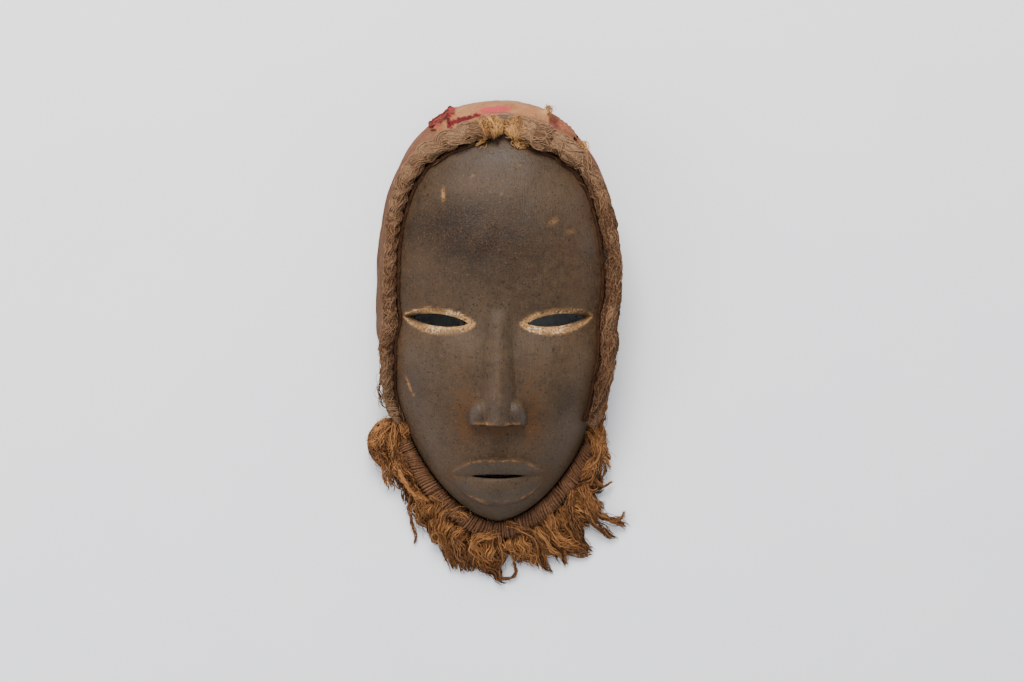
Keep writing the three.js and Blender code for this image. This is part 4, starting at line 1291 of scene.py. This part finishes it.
plait_fibre = fibre("brown_plait_fibre", dark=(0.04, 0.015, 0.006), light=(0.2, 0.098, 0.045),
                    dusty=(0.27, 0.155, 0.083))
left_plait = plaited("plait_left_fibre", LEFT_PLAIT, over=(-0.006, 0.4 * TIE_TURN), steps=165, packed=0.415,
                     fibres=17, fibre_radius=0.34, looseness=0.5, hairs=300, bound=(5, 8, 11), seed=41)
right_plait = plaited("plait_right_fibre", RIGHT_PLAIT, over=(-0.45 * TIE_TURN, 0.014), steps=142,
                      packed=0.445, fibres=18, fibre_radius=0.36, looseness=1.1, hairs=360, bound=(), seed=42)
left_y, right_y = (points_of(plait)[:, 1] for plait in (left_plait, right_plait))
store(left_plait, "dusty", 1.25 * ease(left_y, 35, 105) + 0.7 * ease(-left_y, 20, 50))
store(right_plait, "dusty", 1.25 * ease(right_y, 45, 108))
finish_piece(left_plait, plait_fibre, "plait_left")
finish_piece(right_plait, plait_fibre, "plait_right")


# The crown lashings. Straw-coloured fibre is wound round the two plait ends, which meet at the crown
# with a narrow notch between them. It has matted with use, and its cut ends stand out in wisps.
def through(points, steps):
    """A smooth curve through a few points, even in its steps, and its length."""
    points = np.asarray(points, float)
    padded = np.concatenate([[2 * points[0] - points[1]], points, [2 * points[-1] - points[-2]]])
    place = np.linspace(0, len(points) - 1, 8 * steps)
    i = np.minimum(place.astype(int), len(points) - 2)
    t = (place - i)[:, None]
    a, b, c, d = (padded[i + k] for k in range(4))
    bend = (2 * a - 5 * b + 4 * c - d) * t ** 2 + (3 * b - a - 3 * c + d) * t ** 3
    curve = 0.5 * (2 * b + (c - a) * t + bend)
    far = np.concatenate([[0], np.cumsum(np.linalg.norm(np.diff(curve, axis=0), axis=1))])
    even = np.linspace(0, far[-1], steps)
    return np.stack([np.interp(even, far, column) for column in curve.T], axis=-1), far[-1]


LOCK_STEPS = 60
STRAY_HAIRS = 8
HAIR_RADIUS = 0.12


def lock(draw, points, yarns, breadth, dark, radius=0.3, wave=0.5, ragged=0.25, twist=0.0):
    """A lock of wavy yarns along a smooth curve through a few points, with finer hairs among them. It is
    painted darker low down, by the floor, as painted shade."""
    spine, length = through(points, LOCK_STEPS)
    ahead = unit(np.gradient(spine, axis=0))
    across = unit(np.cross(ahead, [0, 0, 1.0]))
    up = np.cross(across, ahead)
    whole = np.linspace(0, 1, LOCK_STEPS)
    wave_length = draw.uniform(8, 15)
    wave_start = draw.uniform(0, 2 * np.pi)
    batches = []
    for count, steps, thickness, spreading, restless in (
            (yarns, 17, radius, 1, 0.65), (STRAY_HAIRS, 9, HAIR_RADIUS, 1.5, 1.3)):
        share = np.linspace(0, 1, steps) * draw.uniform(1 - ragged, 1, (count, 1))
        full = 0.6 + 0.4 * ease(share, 0, 0.35) - 0.3 * ease(share, 0.65, 1)
        out = np.sqrt(draw.random((count, 1)))
        round_about = draw.uniform(0, 2 * np.pi, (count, 1)) + twist * share * length
        common = wave * np.sin(2 * np.pi * share * length / wave_length + wave_start) * ease(share, 0, 0.2)
        knots = max(4, int(length / 3))
        loose = restless * (0.35 if twist else 1)
        beside = (breadth / 2 * spreading * full * out * np.cos(round_about) + common
                  + wander(draw, count, steps, knots, loose))
        above = (breadth / 3.4 * spreading * full * out * np.sin(round_about)
                 + wander(draw, count, steps, knots, loose * 0.7))
        lines = sum(
            np.stack([np.interp(share, whole, column) for column in direction.T], axis=-1) * size
            for direction, size in ((spine, 1), (across, beside[..., None]), (up, above[..., None])))
        lines[..., 2] = np.maximum(lines[..., 2], thickness + 0.1)
        radii = tapered(count, steps, thickness) * draw.uniform(0.7, 1.25, (count, 1))
        # Yarns are painted darker the lower they lie: painted shade by the floor.
        batches.append((round_rings(lines, radii), dark + 0.44 * (1 - ease(lines[..., 2], 1, 12))))
    return batches


STRAW_DARKNESS = -0.45
# Solid cores inside matted fibre are painted dark, as the shade that shows between the fibres over them.
CORE_SHADE_DARKNESS = 0.6
CORE_SHARE = 0.44


def lashing(name, rope, start, end, fullness, slant, tails, wisps, seed):
    """A matted lump of windings round a plait end, frayed tails that lie on the wood, each given by its
    ends, and wisps caught in the cloth, each given by turns, reaches and distances out from the wood."""
    draw = np.random.default_rng(seed)
    steps = 60
    course = rope_course({**rope, "from": start, "to": end}, steps)
    share = np.linspace(0, 1, steps)
    rounded = np.sin(np.pi * mixed(0.1, 0.9, share)) ** 0.5
    lumpy = 1 + 0.13 * hand_waves(course["length"], 0 * share, 6, seed)
    for size in ("breadth", "depth"):
        course[size] = course[size] * rounded * lumpy * fullness
    batches = [
        (core_rings(course, CORE_SHARE * course["breadth"], CORE_SHARE * course["depth"]), CORE_SHADE_DARKNESS),
        felted(draw, course, 160, length=8, radius=0.25, lean=1.1, out=0.95, dark=0.25),
        *wound(draw, course, np.linspace(3, 56, 9), yarns=8, radius=0.25, slant=slant),
        felted(draw, course, 50, length=9, radius=0.22, lean=0.9, out=1.05, dark=-0.1),
        fuzz(draw, course, 130, length=5, radius=0.14, lift=0.8)]
    for (x0, y0), (x1, y1) in tails:
        flat = np.array([(x0, y0), (mixed(x0, x1, 0.5), mixed(y0, y1, 0.4)), (x1, y1)])
        spine = np.column_stack([flat, front_height(*flat.T) + [2.5, 2.2, 1.0]])
        batches += lock(draw, spine, 15, 4.5, STRAW_DARKNESS, radius=0.26, wave=0.7, ragged=0.5)
    for turns, reaches, out in wisps:
        place, outward = skin(turns, reaches)
        spine = place + outward * np.array(out)[:, None]
        batches += lock(draw, spine, 11, 2.6, STRAW_DARKNESS, radius=0.26, ragged=0.5)
    return fibre_piece(name, batches, draw)


straw = fibre("straw_fibre", dark=(0.12, 0.048, 0.016), light=(0.7, 0.36, 0.105), dusty=(0.38, 0.21, 0.1),
              stained=0.7)
CAUGHT_WISPS = [((0.0445, 0.0465, 0.048), (15, 22, 31), (4, 6.2, 5)),
                ((0.088, 0.093, 0.1), (25, 29, 30), (3.5, 4.5, 3.2))]
left_tie = lashing(
    "crown_tie_left_fibre", LEFT_PLAIT, start=LEFT_PLAIT["to"] - 0.1 * TIE_TURN,
    end=NOTCH_TURN - 0.3 * NOTCH_HALF, fullness=0.97, slant=-4,
    tails=[((-7, 97.5), (-13.5, 94.5))], wisps=[], seed=51)
right_tie = lashing(
    "crown_tie_right_fibre", RIGHT_PLAIT, start=NOTCH_TURN + 0.3 * NOTCH_HALF,
    end=RIGHT_PLAIT["from"] - 0.05 * TIE_TURN, fullness=0.9, slant=-7,
    tails=[((11, 97.5), (16.5, 92)), ((12, 96), (11, 91.5))], wisps=CAUGHT_WISPS, seed=52)
finish_piece(left_tie, straw, "crown_tie_left")
finish_piece(right_tie, straw, "crown_tie_right")


# The jaw roll. A fibre core is wound closely, turn beside turn, with a fine brown cord, and lies
# against the wall of the wood from cheek to cheek. The turns slant a little and are not quite even.
ROLL_RADIUS = 5.3
ROLL_REACH = 10
ROLL_END = 0.735
CORD_RADIUS = 0.74
ROLL_SIZE = between((0, 2 * ROLL_RADIUS), (1, 2 * ROLL_RADIUS))
JAW_ROLL = {"from": ROLL_END / 2, "to": 1 - ROLL_END / 2, "lift": 0.1,
            "reach": between((0, ROLL_REACH), (1, ROLL_REACH)), "breadth": ROLL_SIZE, "depth": ROLL_SIZE}
STEPS_PER_TURN = 18
CROSSINGS = 16
CROSSING_STEPS = 24

draw = np.random.default_rng(61)
course = rope_course(JAW_ROLL, 400)
roll_length = course["length"][-1]
last = len(course["length"]) - 1
turn_count = int(roll_length / (2 * CORD_RADIUS * 1.02))
cord_steps = turn_count * STEPS_PER_TURN
cord_share = np.linspace(0, 1, cord_steps)
along_roll = cord_share * roll_length
angle = cord_share * turn_count * 2 * np.pi
bunched = 0.9 * hand_waves(along_roll, 0, 17, 62) + 0.35 * hand_waves(along_roll, 0, 5, 66)
slant = (1.1 + 0.9 * hand_waves(along_roll, 0, 28, 67)) * np.sin(angle + 0.5)
slant += 0.5 * hand_waves(along_roll, 0, 6.5, 68) * np.sin(angle * 2 + 1)
station = (np.clip(cord_share + bunched / roll_length, 0, 1) + slant / roll_length) * last
uneven = 0.04 * hand_waves(along_roll, 0, 9, 63) + 0.045 * hand_waves(along_roll, 0, 2.6, 64)
winding_out = (ROLL_RADIUS - CORD_RADIUS) * (1 + uneven)
cord_line = on_course(course, station, winding_out * np.cos(angle), winding_out * np.sin(angle))
cord_radii = CORD_RADIUS * (1 + 0.16 * hand_waves(along_roll, 0, 4, 65))

# The cord in lengths of three turns, each with its own tone, and a few loose turns across it
cord_length = 3 * STEPS_PER_TURN
first_steps = np.arange(cord_steps // cord_length)[:, None] * cord_length
pick = np.minimum(first_steps + np.arange(cord_length + 1), cord_steps - 1)
crossing_share = np.linspace(0, 1, CROSSING_STEPS)
crossing_start = draw.uniform(4, last - 13, (CROSSINGS, 1))
crossing_station = crossing_start + draw.uniform(3, 9, (CROSSINGS, 1)) * crossing_share
crossing_angle = mixed(-0.25, draw.uniform(0.9, 1.3, (CROSSINGS, 1)), crossing_share) * np.pi
crossing_out = ROLL_RADIUS + 0.2
crossing_turns = on_course(course, crossing_station, crossing_out * np.cos(crossing_angle),
                           crossing_out * np.sin(crossing_angle))
core_size = np.full(last + 1, ROLL_RADIUS - 1.6 * CORD_RADIUS)
jaw_roll = fibre_piece("jaw_roll_cord", [
    # The core is painted dark: painted shade between the windings.
    (core_rings(course, core_size, core_size), 0.7),
    (round_rings(cord_line[pick], cord_radii[pick], sides=6), 0),
    (round_rings(crossing_turns, tapered(CROSSINGS, CROSSING_STEPS, 0.62)), -0.1),
    fuzz(draw, course, 420, length=4, radius=0.11, lift=0.9)], draw)
winding_cord = fibre("brown_winding_cord", dark=(0.06, 0.024, 0.011), light=(0.16, 0.074, 0.036),
                     dusty=(0.19, 0.095, 0.047))
finish_piece(jaw_roll, winding_cord, "jaw_roll")


# The beard. Long orange-brown plant fibre is bound in under the jaw roll in fourteen tufts. Their
# wavy yarns stick together in locks, overlap, curl over and end raggedly.
BESIDE_ROLL = GAP + 2 * ROLL_RADIUS + GAP
TUFT_TIPS = [
    (-58, -105), (-51, -118), (-41, -129), (-33, -143), (-22, -150), (-10, -151), (2, -156),
    (13, -143), (26, -151), (39, -144), (52, -137), (62, -129), (71, -120), (64, -104)]
BEARD_START = 0.592
BEARD_END = 0.408


def beside_rim(turn, out):
    """A place beside the foot of the wood, and the direction out from it."""
    along = foot_line.along(turn)
    outward = np.stack([-along[..., 1], along[..., 0]], axis=-1)
    return foot_line.point(turn) + outward * out, outward


LOCKS_IN_TUFT = 7


def tuft_locks(draw, i):
    """The locks that fill a tuft, from its root under the roll to about its tip. The lower ones are painted
    darker, as shade under the upper ones. The outermost tufts are shorter and closer, and the left ones are
    darker."""
    inner = 0 < i < 11
    furthest, straying = (1.08, 3.6) if inner else (0.76, 1.2)
    left_darkness = 0.12 if i < 4 else 0
    batches = []
    for k in range(LOCKS_IN_TUFT):
        place = (i + draw.uniform(-0.15, 1.15)) / len(TUFT_TIPS)
        root, outward = beside_rim(mixed(BEARD_START, BEARD_END, place), BESIDE_ROLL - 3)
        end = mixed(root, np.array(TUFT_TIPS[i]), draw.uniform(0.6, furthest)) + draw.normal(0, straying, 2)
        length = np.linalg.norm(end - root)
        bend = root + outward * 0.42 * length + draw.normal(0, 2.2, 2)
        root_z, bend_z, end_z = 3 + 1.3 * k, draw.uniform(2, 4) + 1.2 * k, draw.uniform(1.2, 4)
        spine = [(*root, root_z), (*mixed(root, bend, 0.55), mixed(root_z, bend_z, 0.5) + 1), (*bend, bend_z),
                 (*mixed(bend, end, 0.5), mixed(bend_z, end_z, 0.6)), (*end, end_z)]
        breadth = draw.uniform(3.5, 7)
        wave = draw.uniform(0.2, 1.2)
        # Each lock higher in the stack is lighter: the lower ones carry painted shade.
        dark = draw.uniform(0.05, 0.62) - 0.1 * k + left_darkness
        batches += lock(draw, spine, 14, breadth, dark, wave=wave)
    return batches


# Locks that lie over the others, as the photographed beard has them, by the tuft that each grows
# from: its course in millimetres about the middle of the wood, breadth, yarns, waviness and twist
TOP_LOCKS = {
    2: [([(-59.5, -86, 14), (-54.5, -98, 16), (-48.5, -106, 15), (-38.5, -110, 13)], 3, 11, 0.1, 0.9),
        ([(-51.5, -106, 8), (-52, -117, 5), (-49.5, -127, 2.5), (-48.5, -132, 2), (-50, -137, 1.5)],
         1.6, 7, 0.3, 1.2)],
    3: [([(-47.5, -104, 13), (-44.5, -110, 13), (-44.5, -118, 9), (-41.5, -126, 3)], 6, 18, 0.9, 0),
        ([(-39.5, -106, 15), (-35.5, -112, 14), (-37.5, -120, 9), (-34.5, -126, 3)], 5, 15, 0.9, 0)],
    4: [([(-25.5, -113, 15), (-31.5, -117, 15), (-33.5, -127, 10), (-29.5, -140, 5), (-25, -152, 2.5)],
         4.4, 18, 0.4, 0)],
    5: [([(-29.5, -116, 14), (-21.5, -117, 15), (-15.5, -123, 13), (-10.5, -131, 8)], 4.6, 18, 0.4, 0),
        ([(-25.5, -122, 9), (-25.5, -133, 9), (-21.5, -144, 6), (-17.5, -153, 2)], 8, 26, 0.8, 0)],
    6: [([(1.5, -129, 14), (-8.5, -130, 15), (-14.5, -134, 13), (-9.5, -140, 10), (-3.5, -150, 4)],
         5, 20, 0.5, 0),
        ([(-11.5, -136, 9), (-14.5, -144, 7), (-16.5, -152, 3)], 5, 15, 0.5, 0)],
    7: [([(-5.5, -126, 13), (-0.5, -134, 13), (0.5, -145, 8), (-1.5, -155, 2.5)], 7, 23, 0.9, 0),
        ([(6.5, -136, 10), (8.5, -144, 7), (10.5, -151, 4), (7.5, -156, 2.5), (1.5, -155.5, 2),
          (-0.5, -150, 3)], 1.8, 7, 0.2, 0.7)],
    8: [([(4.5, -122, 15), (11.5, -125, 15), (19.5, -129, 13), (24.5, -138, 8), (26.5, -147, 4),
          (31.5, -154, 1.5)], 5, 22, 0.3, 0)],
    9: [([(16.5, -122, 12), (15.5, -132, 10), (12.5, -141, 6), (11.5, -148, 3)], 5, 18, 0.8, 0),
        ([(25.5, -120, 13), (32.5, -131, 9), (37.5, -141, 5), (40.5, -149, 2)], 4, 14, 0.5, 0)],
    10: [([(29.5, -116, 13), (32.5, -124, 12), (36.5, -133, 7), (44.5, -139, 4), (54.5, -142, 2)],
          5, 19, 0.4, 0),
         ([(35.5, -112, 12), (39.5, -124, 9), (47.5, -134, 5), (56.5, -140, 2)], 3, 11, 0.3, 0)],
    11: [([(43.5, -103, 15), (41.5, -113, 14), (45.5, -124, 10), (49.5, -135, 4), (52.5, -142, 1.5)],
          5.5, 22, 0.4, 0),
         ([(38.5, -141, 4), (46.5, -143, 3), (55.5, -142, 2)], 0.9, 3, 0.2, 0.5)],
    12: [([(47.5, -101, 15), (51.5, -113, 12), (57.5, -124, 7), (70.5, -134, 2)], 4.5, 19, 0.4, 0)],
    13: [([(50.5, -100, 14), (54.5, -113, 11), (61.5, -120, 7), (71.5, -123, 4), (75.5, -127, 2)],
          4, 15, 0.3, 0),
         ([(52.5, -104, 12), (59.5, -118, 8), (68.5, -121, 5), (72.5, -120, 4), (73.5, -115, 3)],
          2.6, 10, 0.3, 0)],
    14: [([(53, -97, 11), (56, -102, 8), (56.5, -108, 5), (56, -114, 3)], 1.4, 5, 0.2, 0.8),
         ([(54.5, -95, 12), (59.5, -100, 9), (63.5, -101, 6), (67.5, -98, 4)], 1.4, 5, 0.3, 0.8)]}

beard_fibre = fibre("orange_beard_fibre", dark=(0.03, 0.01, 0.0035), light=(0.54, 0.235, 0.076),
                    dusty=(0.3, 0.135, 0.055))
for i in range(len(TUFT_TIPS)):
    number = i + 1
    draw = np.random.default_rng(80 + i)
    batches = tuft_locks(draw, i)
    for spine, breadth, yarns, wave, twist in TOP_LOCKS.get(number, []):
        dark = draw.uniform(-0.25, 0.3)
        batches += lock(draw, spine, yarns, breadth, dark, wave=wave, twist=twist, ragged=0.12)
    tuft = fibre_piece(f"tuft_fibre_{number:02d}", batches, draw)
    finish_piece(tuft, beard_fibre, f"tuft_{number:02d}")


# The side bunches. Where the roll meets the plaits, the same fibre is matted in a bunch on each side.
# The left one bulges outward and is creased across; the right one lies over the end of the roll.
LUMP_STEPS = 40


def lump_course(points, breadth, depth):
    """Stations along a lump of matted fibre, which is rounded off at both ends."""
    centre, length = through(points, LUMP_STEPS)
    ahead = unit(np.gradient(centre, axis=0))
    across = unit(np.cross(ahead, [0, 0, 1.0]))
    full = np.sin(np.pi * np.linspace(0.05, 0.95, LUMP_STEPS)) ** 0.5
    return {"centre": centre, "ahead": ahead, "across": across, "up": np.cross(across, ahead),
            "breadth": breadth * full, "depth": depth * full, "length": np.linspace(0, length, LUMP_STEPS)}


def bunch(name, lumps, tails, seed):
    """Matted lumps, each a course with its breadth and depth, and tails of loose yarn, each with its
    breadth and its number of yarns."""
    draw = np.random.default_rng(seed)
    batches = []
    for points, breadth, depth in lumps:
        course = lump_course(points, breadth, depth)
        area = course["length"][-1] * (breadth + depth) / 400
        batches += [
            (core_rings(course, CORE_SHARE * course["breadth"], CORE_SHARE * course["depth"]), CORE_SHADE_DARKNESS),
            felted(draw, course, int(125 * area), length=12, radius=0.34, lean=0.6, out=0.93, dark=0.25),
            felted(draw, course, int(85 * area), length=9, radius=0.28, lean=1.3, out=0.98, dark=0.05),
            fuzz(draw, course, int(60 * area), length=5, radius=0.12, lift=0.8)]
    for points, breadth, yarns in tails:
        batches += lock(draw, points, yarns, breadth, draw.uniform(-0.1, 0.3), wave=0.4, ragged=0.3)
    return fibre_piece(name, batches, draw)


left_bunch = bunch("knot_left_fibre", [
    ([(-61, -64, 10), (-66, -67, 12), (-69.5, -73, 12), (-69.5, -80, 10), (-66, -89, 8)], 12, 17),
    ([(-58, -62, 12), (-55, -67, 14), (-54, -73, 13)], 9, 10),
    ([(-62, -68, 14), (-61, -75, 15), (-61, -82, 13)], 8, 10),
    ([(-60, -82, 11), (-58, -89, 10), (-56, -96, 8)], 10, 11)], [
    ([(-62, -64, 17), (-66, -68, 19), (-69.5, -74, 17), (-70, -82, 12), (-66, -89, 8)], 4, 14),
    ([(-60, -61, 16), (-57, -65, 18), (-55, -71, 17), (-54, -78, 14)], 3.4, 12),
    ([(-60, -63, 17), (-60, -71, 20), (-61, -79, 19), (-62, -86, 14)], 3.4, 12),
    ([(-66, -33, 17), (-68.8, -42, 14), (-68.3, -50, 13), (-64.5, -58, 15)], 0.6, 4),
    ([(-68, -78, 12), (-66, -88, 12), (-64.5, -97, 8), (-63, -105, 4)], 5, 15),
    ([(-70, -76, 8), (-69, -85, 7), (-65, -92, 5), (-62, -98, 3)], 4, 12),
    ([(-65, -84, 9), (-61.5, -93, 8), (-58, -100, 6), (-53.5, -105.5, 4)], 4, 12),
    ([(-62, -80, 15), (-61, -88, 14), (-62, -95, 9), (-62, -102, 4)], 4, 13),
    ([(-60, -78, 17), (-56, -84, 17), (-52, -92, 15), (-46, -101, 13)], 4, 14),
    ([(-59, -86, 14), (-55, -94, 14), (-50, -101, 12), (-45, -104, 11)], 4, 14)], 71)
finish_piece(left_bunch, beard_fibre, "knot_left")
right_bunch = bunch("knot_right_fibre", [
    ([(56.5, -60, 12), (58, -68, 13), (59, -78, 12), (59, -86, 10)], 8, 13),
    ([(55, -57, 13), (55, -63, 14), (54, -70, 13), (52, -75, 12)], 8, 10),
    ([(57, -82, 13), (54, -90, 13), (49, -97, 12)], 8, 9),
    ([(58, -50, 21), (57.5, -56, 19), (57, -63, 16)], 7, 9)], [
    ([(59, -50, 24), (61, -54, 22), (60.5, -60, 18), (59, -67, 15)], 3, 11),
    ([(54, -55, 26), (53.5, -59, 24), (54.5, -64, 19)], 2.4, 8),
    ([(57, -62, 17), (59, -67, 19), (59, -73, 19), (56, -78, 18), (55, -84, 17)], 2.4, 10),
    ([(53.5, -62, 19), (55, -66, 20.5), (58.5, -70, 20), (60.5, -72.5, 18)], 1.4, 9),
    ([(50, -69, 18), (53, -70, 19.5), (55.5, -75, 19.5), (54.5, -81, 18)], 1.6, 9),
    ([(58, -62, 14), (59.5, -70, 16), (60.5, -79, 14), (59, -87, 11)], 4, 12),
    ([(57, -66, 18), (57, -75, 19), (56, -84, 18), (51, -92, 16), (45, -99, 14)], 4, 16),
    ([(61, -74, 12), (63, -82, 9), (66, -88, 6)], 3, 9),
    ([(59, -80, 14), (62, -86, 11), (64, -90, 8), (67, -92, 5)], 2.4, 7),
    ([(60, -86, 11), (60, -94, 8), (58, -101, 5)], 4, 12),
    ([(56, -88, 15), (53, -96, 14), (46, -102, 13), (40, -106, 12)], 4, 14)], 72)
finish_piece(right_bunch, beard_fibre, "knot_right")
